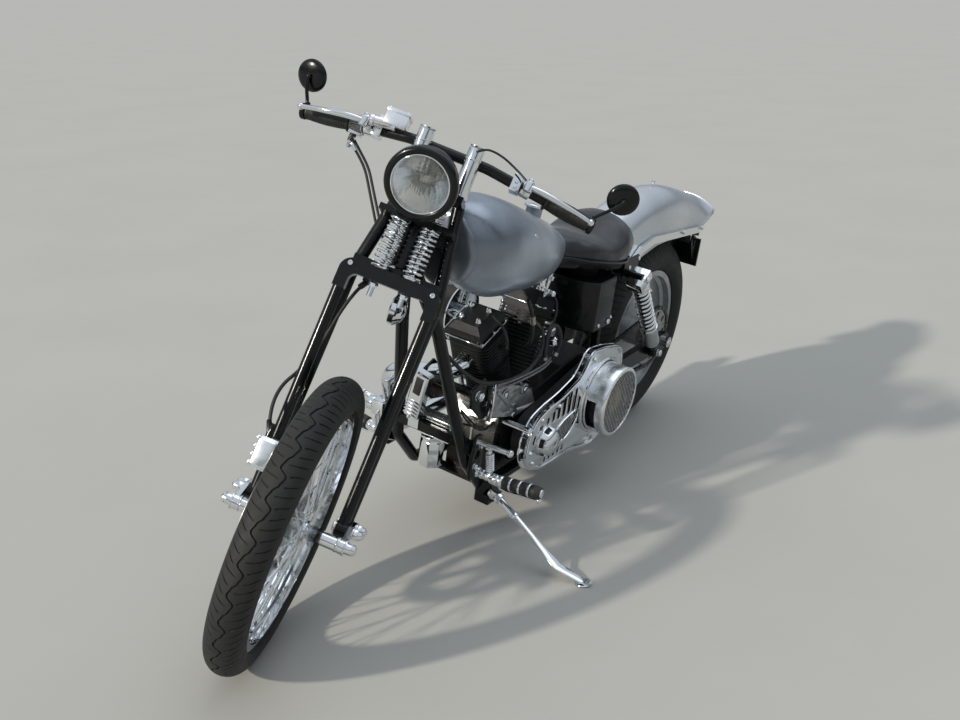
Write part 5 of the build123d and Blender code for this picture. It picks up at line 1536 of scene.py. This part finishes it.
# %% Cooler, filter and regulator
FINS = 8
fins = [box(-50, 50, -1132, -1100, 342, 388)]
edges = []
for k in range(FINS):
    z = 340 + 50 * k / (FINS - 1)
    fins.append(box(-57, 57, -1136.5, -1098, z - 0.9, z + 0.9))
    edges += [
        box(-57.6, 57.6, -1138, -1135.6, z - 1.9, z + 1.9), box(56.4, 58.2, -1137, -1098, z - 1.9, z + 1.9)]
edges += [box(-57.6, 57.6, -1136 + 6.2 * k, -1133.2 + 6.2 * k, 390.4, 393) for k in range(7)]
piece("cooler_fins", fins, CHASSIS, fin_paint, ["oil_cooler"])
piece("cooler_bright_edges", edges, CHASSIS, satin_chrome)
FLATS, FILTER_Y = 8, -1119
filter_loops = []
for z, r in ((250, 26), (254, 33), (322, 33), (326, 30), (333, 30), (335, 34), (340, 34)):
    turns = [2 * pi * (k + 0.5) / FLATS for k in range(FLATS)]
    filter_loops.append([(r * cos(a), FILTER_Y + r * sin(a), z) for a in turns])
piece("oil_filter", skinned(filter_loops), CHASSIS, chrome, bevel=1.2, crisp=20)
tilt = Matrix.Rotation(radians(11), 4, "Y")
inset = moved(box(-10.5, 10.5, -3, 3, -24, 24), Matrix.Translation((-20, -1180.4, 488)) @ tilt)
piece("regulator_inset", inset, CHASSIS, rubber, bevel=1.0)
ribs = [
    moved(
        box(-20, 20, -1.4, 1.4, -2, 2),
        Matrix.Translation((-30 - 3.9 * k * 0.5, -1181.6, 442 - 9.5 * k)) @ tilt) for k in range(5)]
ribs += [cap_screw((-14, -1181, 522), AHEAD, 4.5), cap_screw((-40, -1181, 396), AHEAD, 4.5)]
piece("regulator_ribs", ribs, CHASSIS, chrome, bevel=0.6)
print("cooler fins", FINS)

# %% [markdown]
# ## Air cleaner and pipes
# On the right side a round chromed air cleaner covers the carburettor: a domed lid over a pleated
# element. The two pipes get clamps with bolts, and rolled ends.

# %% Air cleaner, clamps and pipe ends
AIR = Vector((-196.0, CRANK_Y, 548.0))
PLEATS = 90
lid = [
    lathe(
        [(-3, 80), (-3, 83), (0, 84), (3, 83), (6, 76), (7, 60), (8.5, 56), (9.5, 30), (12, 26), (12.5, 0)],
        AIR, RIGHT, 72), lathe(sleeve(78, 83, 0, 4), AIR + Vector((44, 0, 0)), LEFT, 72),
    acorn(AIR + Vector((-12, 0, 0)), RIGHT, 14)]
piece("air_cleaner_lid", lid, CHASSIS, chrome)
folds = [(82.4 if k % 2 == 0 else 84.2, pi * k / PLEATS) for k in range(2 * PLEATS)]
pleats = [[(x, AIR.y + r * cos(a), AIR.z + r * sin(a)) for r, a in folds] for x in (-193, -153)]
piece("air_cleaner_element", skinned(pleats, ends=()), CHASSIS, fin_paint, crisp=20)


def clamp_ring(centre, direction, radius, wide=14):
    """A band clamp with its pinch bolt."""
    place = aim(centre, direction)
    band = moved(turned(sleeve(radius, radius + 2.2, -wide / 2, wide / 2), 40), place)
    ears = [
        moved(box(s * 3 - 1.2, s * 3 + 1.2, radius, radius + 12, -wide / 2, wide / 2), place)
        for s in (-1, 1)]
    ears.append(moved(bolt((4.2, radius + 7, 0), LEFT, 9), place))
    return joined([band] + ears)


clamps = [
    clamp_ring((-203, -700, 236.5), (0, 1, -0.02), 24.4),
    clamp_ring((-203, -120, 250.4), (0, 1, 0.048), 24.4),
    clamp_ring((-203, -440, 320.5), (0, 1, 0.018), 24.4)]
for y, z in ((120, 262), (90, 330)):
    clamps.append(lathe(
        [(-4, 21.8), (-4, 24.4), (-2, 25.4), (0.5, 25), (1, 23.5), (0.5, 21.8)], (-203, y, z), (0, 1, 0.04),
        48))
piece("pipe_clamps", clamps, CHASSIS, chrome, bevel=0.4)
print("clamp rings and pipe ends", len(clamps))

# %% [markdown]
# ## Open primary drive
# The left side wears a chromed guard over the toothed belt: a flat face with a deep skirt and a
# raised rim, two rows of slots, an oval window with wire mesh, a domed boss over the crank nut and,
# at the rear, a drum that covers the clutch. The guard is one flat plate with holes, which the
# curve tool fills, and the rims are small sections swept round the same outline.

# %% Guard face, skirt and rims
GUARD_X = 168.0
MAIN_SHAFT = (0, MAIN_Y, MAIN_Z)
guard_line = [
    (-921, 262), (-912, 315), (-885, 352), (-829, 370), (-751, 380), (-655, 407), (-604, 474), (-520, 464),
    (-423, 440), (-404, 400), (-398, 300), (-416, 220), (-466, 168), (-528, 150), (-580, 160), (-690, 183),
    (-770, 183), (-835, 187), (-890, 207), (-915, 236)]


def softened(loop, cut, steps=4):
    """The same loop with its corners rounded, starting cut millimetres from each."""
    line = []
    for i, corner in enumerate(loop):
        corner = Vector(corner)
        ends = []
        for other in (Vector(loop[i - 1]), Vector(loop[(i + 1) % len(loop)])):
            reach = (other - corner).length
            ends.append(corner + (other - corner) * min(cut / reach, 0.45))
        for k in range(steps + 1):
            t = k / steps
            line.append(tuple(ends[0] * (1 - t) ** 2 + corner * 2 * t * (1 - t) + ends[1] * t * t))
    return line


outline = softened(guard_line, 24)
holes = [circle(MAIN_Y, MAIN_Z, 108, 96), circle(CRANK_Y, CRANK_Z, 41)]
window_line = [
    (-766, 262), (-742, 236), (-700, 232), (-664, 250), (-640, 284), (-640, 306), (-662, 309), (-716, 300),
    (-752, 286)]
window = softened(window_line, 14)
holes.append(window)
for n in range(6):
    y = -812 + 29 * n
    holes.append(slot_loop(y, 323.5 - 1.4 * n, y, 332.5 + 10.2 * n - (8 if n == 5 else 0), 6.4))
for n in range(5):
    y = -800 + 24 * n
    holes.append(slot_loop(y, 201.5, y, 212.5, 5.6))
guard = [plate([outline] + holes, GUARD_X - 4.5, GUARD_X, 0.8)]


def round_guard(loop, x, section):
    """A section swept round a loop of the guard, at x."""
    return swept([(x, y, z) for y, z in loop], section, closed=True, lift=LEFT)


guard.append(round_guard(outline, 155.5, flat_bar(9.5, 1.6)))
inner_line = softened([(-510 + (y + 510) * 0.985, 300 + (z - 300) * 0.975) for y, z in guard_line], 24)
rim = [(-3.5, -4), (1.5, -4), (3.2, -2.6), (3.6, 0), (3.2, 2.6), (1.5, 4), (-3.5, 4)]
guard += [
    round_guard(inner_line, GUARD_X + 1, rim), round_guard(outline, 147, ring(3.2, 8)),
    round_guard(window, GUARD_X + 0.5, ring(2.6, 8)),
    lathe(
        [(161, 108), (161, 117), (169, 117), (172, 114.5), (172, 110.5), (170, 108)], MAIN_SHAFT, LEFT, 96)]
guard += [
    lathe(sleeve(0, 9, 80, 163), (0, y, z), LEFT, 20) for y, z in ((-905, 330), (-440, 222), (-662, 288))]
guard += [
    acorn((GUARD_X, y, z), LEFT, 11)
    for y, z in ((-899, 262), (-880, 226), (-770, 362), (-858, 349), (-594, 448), (-436, 236))]
piece("guard_shell", guard, CHASSIS, chrome, ["primary_guard"])
print("guard holes", len(holes))

# %% [markdown]
# ## Wire mesh
# Woven wire is two families of thin bars that cross. Each bar is clipped to the shape it fills, a
# circle or the oval window, by a small function, so no boolean is needed.

# %% Wire mesh
def inside(loop, y, z):
    """True where a point lies within a loop."""
    odd = False
    for i, (y1, z1) in enumerate(loop):
        y0, z0 = loop[i - 1]
        if (z0 > z) != (z1 > z) and y < (y1 - y0) * (z - z0) / (z1 - z0) + y0:
            odd = not odd
    return odd


def wire_mesh(loop, x, pitch, wide, slants=(38, -52)):
    """Bars in two directions, cut to a loop."""
    ys, zs = [p[0] for p in loop], [p[1] for p in loop]
    middle_y, middle_z = (min(ys) + max(ys)) / 2, (min(zs) + max(zs)) / 2
    reach = hypot(max(ys) - min(ys), max(zs) - min(zs)) / 2
    bars = []
    for turn, slant in enumerate(slants):
        c, s = cos(radians(slant)), sin(radians(slant))
        for k in range(int(-reach / pitch), int(reach / pitch) + 1):
            run = []
            for step in range(-int(reach), int(reach) + 1):
                y, z = middle_y + step * c - k * pitch * s, middle_z + step * s + k * pitch * c
                if inside(loop, y, z):
                    run.append((y, z))
            if len(run) > 3:
                (y0, z0), (y1, z1) = run[0], run[-1]
                height = x + turn * wide * 0.5
                bars.append(swept([(height, y0, z0), (height, y1, z1)], ring(wide / 2, 6)))
    return joined(bars)


piece("guard_window_mesh", wire_mesh(window, GUARD_X - 3.5, 11.5, 2.0), CHASSIS, chrome)
drum_mesh = wire_mesh(circle(MAIN_Y, MAIN_Z, 93, 72), 231.5, 12.5, 2.2)
piece("drum_mesh", drum_mesh, CHASSIS, chrome)
print("drum mesh faces", len(drum_mesh[1]))

# %% [markdown]
# ## Clutch drum and crank dome
# The drum's wall has one cut window and the small dome over the crank nut has a row of them. Their
# faces are left out there, and a solidify modifier gives each wall its thickness. Dark parts behind
# the wires make them read.

# %% Drum, dome and clutch
def drum_wall(profile, centre, steps, is_open):
    """A turned wall whose cells can be left out."""
    points, faces = [], []
    for k in range(steps):
        a = 2 * pi * k / steps
        points += [(h, centre[0] + r * cos(a), centre[1] + r * sin(a)) for h, r in profile]
    n = len(profile)
    for k in range(steps):
        for i in range(n - 1):
            if not is_open(360 * (k + 0.5) / steps, (profile[i][0] + profile[i + 1][0]) / 2):
                a, b = k * n, (k + 1) % steps * n
                faces.append((a + i, b + i, b + i + 1, a + i + 1))
    return points, faces


def thicken(wall_piece, sheet_mm):
    """Gives an open wall the thickness of its sheet."""
    sheet = wall_piece.modifiers.new("sheet", "SOLIDIFY")
    sheet.thickness, sheet.offset = sheet_mm * MM, -1.0


drum_line = [
    (146, 98), (148, 104), (152, 106), (174, 106), (178, 106), (208, 106), (212, 106), (229, 106),
    (233, 104.5), (235.5, 101), (236, 98), (235, 94.5), (231, 93)]
wall = drum_wall(drum_line, (MAIN_Y, MAIN_Z), 120, lambda turn, x: 178 < x < 208 and 168 < turn < 222)
thicken(piece("clutch_drum", wall, CHASSIS, satin_chrome, ["clutch"], crisp=40), 2.6)
boss_line = [
    (164, 41.5), (168, 45), (171, 45.5), (174, 44.5), (186, 40), (193, 34), (197.5, 26), (200, 14),
    (200.6, 4)]
dome = drum_wall(boss_line, (CRANK_Y, CRANK_Z), 60, lambda turn, x: 174 < x < 186 and (turn - 150) % 60 < 36)
thicken(piece("crank_dome", dome, CHASSIS, chrome, crisp=50), 2.0)
basket_line = [
    (147, 0), (147, 96), (160, 96), (160, 88), (168, 88), (168, 96), (180, 96), (180, 88), (190, 88),
    (190, 96), (202, 96), (202, 86), (214, 80), (216, 0)]
dark = [
    lathe([(142, 0), (142, 38), (178, 37), (188, 30), (192, 0)], (0, CRANK_Y, CRANK_Z), LEFT, 40),
    lathe(basket_line, MAIN_SHAFT, LEFT, 72), lathe(sleeve(0, 60, 98, 147), MAIN_SHAFT, LEFT, 48)]
piece("clutch_basket", dark, CHASSIS, fin_paint, crisp=30)
gold = [lathe(
    [(214, 0), (214, 36), (219, 36), (221, 32), (221, 18), (224, 16), (224, 0)], MAIN_SHAFT, LEFT, 48)]
gold += [bolt((215, MAIN_Y + y, MAIN_Z + z), LEFT, 10) for y, z in ring(60, 6)]
piece("clutch_centre", gold, CHASSIS, bronze, bevel=0.4)
print("drum faces", len(wall[1]))

# %% [markdown]
# ## Primary belt
# The belt from the crank to the clutch is ribbed rubber. The CAD has its band, so here come the ribs
# alone: thin rods across the two straight runs, between the points where the belt leaves its pulleys.

# %% Toothed belt ribs
CRANK_PULLEY, MAIN_PULLEY, BELT_X = 62.0, 88.0, (99.0, 141.0)
RIB_COUNT, RIB_LIFT = 28, 1.5
reach = Vector((MAIN_Y - CRANK_Y, MAIN_Z - CRANK_Z))
tangent = acos((CRANK_PULLEY - MAIN_PULLEY) / reach.length)
ribs = []
for s in (-1, 1):
    a = atan2(reach.y, reach.x) + s * tangent
    outward = Vector((cos(a), sin(a)))
    start = Vector((CRANK_Y, CRANK_Z)) + outward * (CRANK_PULLEY + RIB_LIFT)
    end = Vector((MAIN_Y, MAIN_Z)) + outward * (MAIN_PULLEY + RIB_LIFT)
    for k in range(RIB_COUNT):
        at = start.lerp(end, (k + 0.5) / RIB_COUNT)
        ribs.append(swept([(x, at.x, at.y) for x in BELT_X], ring(2.2, 6)))
piece("belt_ribs", ribs, CHASSIS, rubber)
print("belt ribs", len(ribs))

# %% [markdown]
# ## Forward controls
# Each side has a foot peg on a short tube, with a linkage and a toe lever, or a brake pedal and its
# master cylinder on the right. The peg is a steel core inside moulded rubber, held by plated rings,
# with a guard rail below it. Both sides are drawn once and mirrored. Turned profiles with many
# steps give the small ridged parts their sparkle.

# %% Pegs, levers and brackets
tube_line = [
    (0, 9), (0, 12), (8, 13.5), (14, 13.5), (16, 10.5), (21, 10.5), (23, 12.5), (29, 12.5), (31, 10.5),
    (36, 10.5), (38, 12.5), (44, 12.5), (46, 10.5), (51, 10.5), (54, 14.5), (66, 15.5), (74, 14.5), (76, 9)]
PEG_IN, PEG_OUT = Vector((205, -1108, 280)), Vector((328, -1100, 290))
PEG_LINE = PEG_OUT - PEG_IN
peg_length = PEG_LINE.length
link_line = (-6, -10, 84)
link_foot = (178, -1110, 284)
bracket_outline = softened(
    [(-1140, 262), (-1140, 318), (-1132, 384), (-1096, 384), (-1088, 330), (-1090, 262)], 10)
arm = plate([bracket_outline, circle(-1116, 330, 12, 28)], 127, 136.5, 1.6)
metal = [lathe(tube_line, (130, -1110, 280), LEFT, 28)]
metal += [
    bolt((136.5, y, z), LEFT, across)
    for y, z, across in ((-1124, 300, 13), (-1106, 352, 11), (-1098, 282, 10))]
metal += [
    lathe(
        [(0, 0), (0, 8.5), (5, 8.5), (7, 6.8), (96, 6.8), (98, 9), (102, 10), (107, 9), (110, 5), (111, 0)],
        (130, -1120, 368), (110, 0, 6), 24), lathe(sleeve(0, 5, 0, 84), link_foot, link_line, 16)]
metal += [
    lathe(barrel(0, 9, -8, 8, 2, 2), place, LEFT, 20) for place in ((178, -1110, 286), (172, -1120, 366))]
metal += [
    moved(coil((0, 0), 16, 66, 9.5, 2.2, 8), aim(link_foot, link_line)),
    swept(
        [(206, -1110, 270), (214, -1109, 262), (232, -1107, 260), (300, -1102, 266), (322, -1100.5, 268)],
        flat_bar(5, 2.6), lift=BACK),
    lathe(
        [(-6, 0), (-6, 6), (-3, 8), (0, 8.6), (4, 7.6), (7, 4.5), (8, 0)], (320, -1100.4, 268),
        (1, 0.06, 0.06), 20),
    lathe([(-4, 0), (-4, 13), (0, 15), (10, 15), (14, 12), (14, 0)], PEG_IN, PEG_LINE, 28)]
for at in (36, 62, 88):
    metal.append(lathe(barrel(14, 18, at - 3, at + 3, 1.5, 1), PEG_IN, PEG_LINE))
metal.append(lathe(
    [(peg_length - 5, 0), (peg_length - 5, 12), (peg_length - 1, 10), (peg_length, 5), (peg_length, 0)],
    PEG_IN, PEG_LINE, 24))
rubber_line = [(13, 12)]
for start in (14, 40, 66, 92):
    rubber_line += [(start, 15.4), (start + 1.5, 16.8), (start + 17.5, 16.8), (start + 19, 15.4)]
rubber_line += [(peg_length - 6, 15.4), (peg_length - 3, 13), (peg_length - 3, 8)]
cylinder_body = [
    box(137, 172, -1163, -1122, 350, 388),
    lathe([(0, 0), (0, 17), (4, 19), (22, 19), (26, 16), (26, 0)], (172, -1142, 368), LEFT, 28),
    box(140, 170, -1160, -1125, 387, 391), bolt((150, -1163, 360), AHEAD, 11),
    hose([(150, -1166, 362), (146, -1172, 330), (130, -1150, 290), (120, -1120, 275)], 3)]
peg_rubber = lathe(rubber_line, PEG_IN, PEG_LINE, 48)
for side, flip, extra in (
    ("left", Matrix.Identity(4), []), ("right", Matrix.Scale(-1, 4, LEFT), cylinder_body)):
    piece(
        "control_metal_" + side, moved(joined(metal + extra), flip), CHASSIS, chrome, ["control_" + side],
        bevel=0.5, crisp=38)
    piece("control_arm_" + side, moved(arm, flip), CHASSIS, enamel, bevel=0.5)
    piece("peg_rubber_" + side, moved(peg_rubber, flip), CHASSIS, rubber, crisp=50)
print("control shapes", len(metal))

# %% [markdown]
# ## Side stand
# The stand is a round rod that was forged flat towards its knee, like a paddle, then bent to a foot.
# One sweep makes it, with a wider and thinner scale at each point. Its foot meets the floor, so
# the height of the floor under it is worked out from the bike's lean.

# %% Side stand
STAND_PIVOT, STAND_KNEE, FOOT_X, FOOT_Y = Vector((151, -1032, 192)), Vector((392, -1078, 96)), 468.0, -1080.0
PIVOT_AXIS = Vector((0.42, 0.06, 0.905))
floor_up = (to_board.to_3x3() @ Vector(UP)).normalized()
foot_z = -(FOOT_X * floor_up.x + FOOT_Y * floor_up.y) / floor_up.z
foot = Vector((FOOT_X, FOOT_Y, foot_z)) + floor_up * 7
run = STAND_KNEE - STAND_PIVOT
stops = [
    (0.07, 9.5, 9.5), (0.3, 9.5, 9.5), (0.31, 11.5, 11.5), (0.35, 11.5, 11.5), (0.36, 8.6, 8.6),
    (0.6, 9.0, 7.4), (0.8, 12.5, 5.6), (0.93, 16.5, 4.6), (1.0, 17.5, 4.4)]
path = [STAND_PIVOT + run * t for t, _, _ in stops]
wide = [(a, b) for _, a, b in stops]
toe = foot - STAND_KNEE
path += [
    STAND_KNEE + toe * 0.3, STAND_KNEE + toe * 0.8, foot + floor_up * -1,
    foot + Vector((16, 0, 0)) + floor_up * 1, foot + Vector((24, 0, 0)) + floor_up * 8]
wide += [(16, 4.6), (14, 5), (13, 5.5), (11, 5.5), (8, 4.5)]
stand_parts = [
    swept(path, ring(1.0, 20), scales=wide, lift=BACK),
    lathe(barrel(6.8, 18, -12.6, 12.6, 1.6, 1), STAND_PIVOT, PIVOT_AXIS, 36),
    lathe(barrel(0, 15, -7, 7, 2, 3), STAND_PIVOT + run * 0.09, run, 24),
    lathe(
        [(0, 0), (0, 20), (2.5, 21.5), (5, 20), (6.5, 12), (6.5, 0)], foot - floor_up * 7 + floor_up * 0.3,
        floor_up),
    lathe(
        [(0, 0), (0, 5), (10, 5), (12, 7), (14, 5), (15, 0)], STAND_PIVOT + run * 0.33, (0.1, -1, 0.2), 16)]
piece("side_stand_forging", stand_parts, CHASSIS, chrome, ["side_stand"], "side_stand", crisp=45)
print("stand foot above the floor in mm", round((CHASSIS @ (foot - floor_up * 6.7)).z / MM, 2))

# %% [markdown]
# ## Rear axle fittings
# The rear axle ends in plated nuts outside the swingarm, and two bolts on each arm hold the chain
# adjusters. They are small, and yet an empty frame tube looks like a model.

# %% Axle nuts and adjuster bolts
fittings = []
for s in (-1, 1):
    fittings += [
        lathe(
            [(0, 0), (0, 16), (3, 17), (10, 15), (14, 9), (15, 0)], (s * 139.5, 0, REAR_TYRE_RADIUS),
            (s, 0, 0), 6), bolt((s * 118, 38, REAR_TYRE_RADIUS + 6), (s, 0, 0), 13),
        bolt((s * 118, -52, REAR_TYRE_RADIUS + 22), (s, 0, 0), 11)]
piece("rear_axle_nuts", fittings, CHASSIS, chrome, bevel=0.6)
print("fittings", len(fittings))

# %% [markdown]
# ## Studio floor
# The machine stands on a pale sealed floor with a fine concrete grain and nothing else. It is one
# face, and so wide that from low down its far edge looks like a horizon.

# %% Floor
ground_mesh = bpy.data.meshes.new("studio_floor")
FLOOR_HALF = 200.0
corners = [(x * FLOOR_HALF, y * FLOOR_HALF, 0) for x, y in ((-1, -1), (1, -1), (1, 1), (-1, 1))]
ground_mesh.from_pydata(corners, [], [(0, 1, 2, 3)])
ground = bpy.data.objects.new("studio_floor", ground_mesh)
bpy.context.scene.collection.objects.link(ground)
floor_paint = textured(
    "pale_sealed_concrete", ((900, 6, 0.6), 0xA8A7A1, 0xACABA5), bump=((4, 4), 0.2, 0.4), Roughness=0.8)
ground_mesh.materials.append(floor_paint)
print("floor", 2 * FLOOR_HALF, "metres wide")

# %% [markdown]
# ## Studio light
# Chrome is a picture of its room, so the light is planned for reflections first: a low soft key
# from the front right, a wide weak lamp overhead, and a sky with one grey band round it above the
# horizon, because a plain white room would leave chrome with no contrast. Both lamps are far away,
# which keeps the floor even.

# %% Lights and sky
def soft_sun(name, toward, strength, width_degrees, tint):
    """A far lamp seen as a soft disc, so it lights the whole floor evenly. toward points at it."""
    data = bpy.data.lights.new(name, "SUN")
    data.energy = strength
    data.angle = radians(width_degrees)
    data.color = colour(tint)[:3]
    lamp = bpy.data.objects.new(name, data)
    lamp.location = Vector(toward) * 5
    lamp.rotation_mode = "QUATERNION"
    lamp.rotation_quaternion = Vector(toward).to_track_quat("Z", "Y")
    bpy.context.scene.collection.objects.link(lamp)
    return lamp


soft_sun("key_low", (-0.305, -0.837, 0.454), 3.1, 2.6, 0xFFF6EA)
soft_sun("overhead", (0.3, 0.5, 1.6), 0.55, 50, 0xEEF4FF)

world = bpy.data.worlds.new("studio_sky")
bpy.context.scene.world = world
world.use_nodes = True
tree = world.node_tree
sky_direction = node(tree, "TexCoord").outputs["Generated"]
height = node(tree, "SeparateXYZ", {"Vector": sky_direction}).outputs["Z"]
ramp = node(tree, "ValToRGB", {0: spread(tree, height, 0.0, 1.0, -0.1, 1.0)})
stops = [
    (0.0, 0xAEADA9), (0.1, 0xBCBCB9), (0.17, 0xC2C4C5), (0.19, 0x55595D), (0.26, 0x666B70),
    (0.31, 0xC6D0DB), (0.5, 0xDDE7F1), (1.0, 0xEAF1F8)]
while len(ramp.color_ramp.elements) < len(stops):
    ramp.color_ramp.elements.new(0.5)
for element, (at, code) in zip(ramp.color_ramp.elements, stops):
    element.position = at
    element.color = colour(code)
tree.links.new(ramp.outputs[0], tree.nodes["Background"].inputs["Color"])
tree.nodes["Background"].inputs["Strength"].default_value = 0.75
bpy.context.scene.view_settings.view_transform = "Standard"
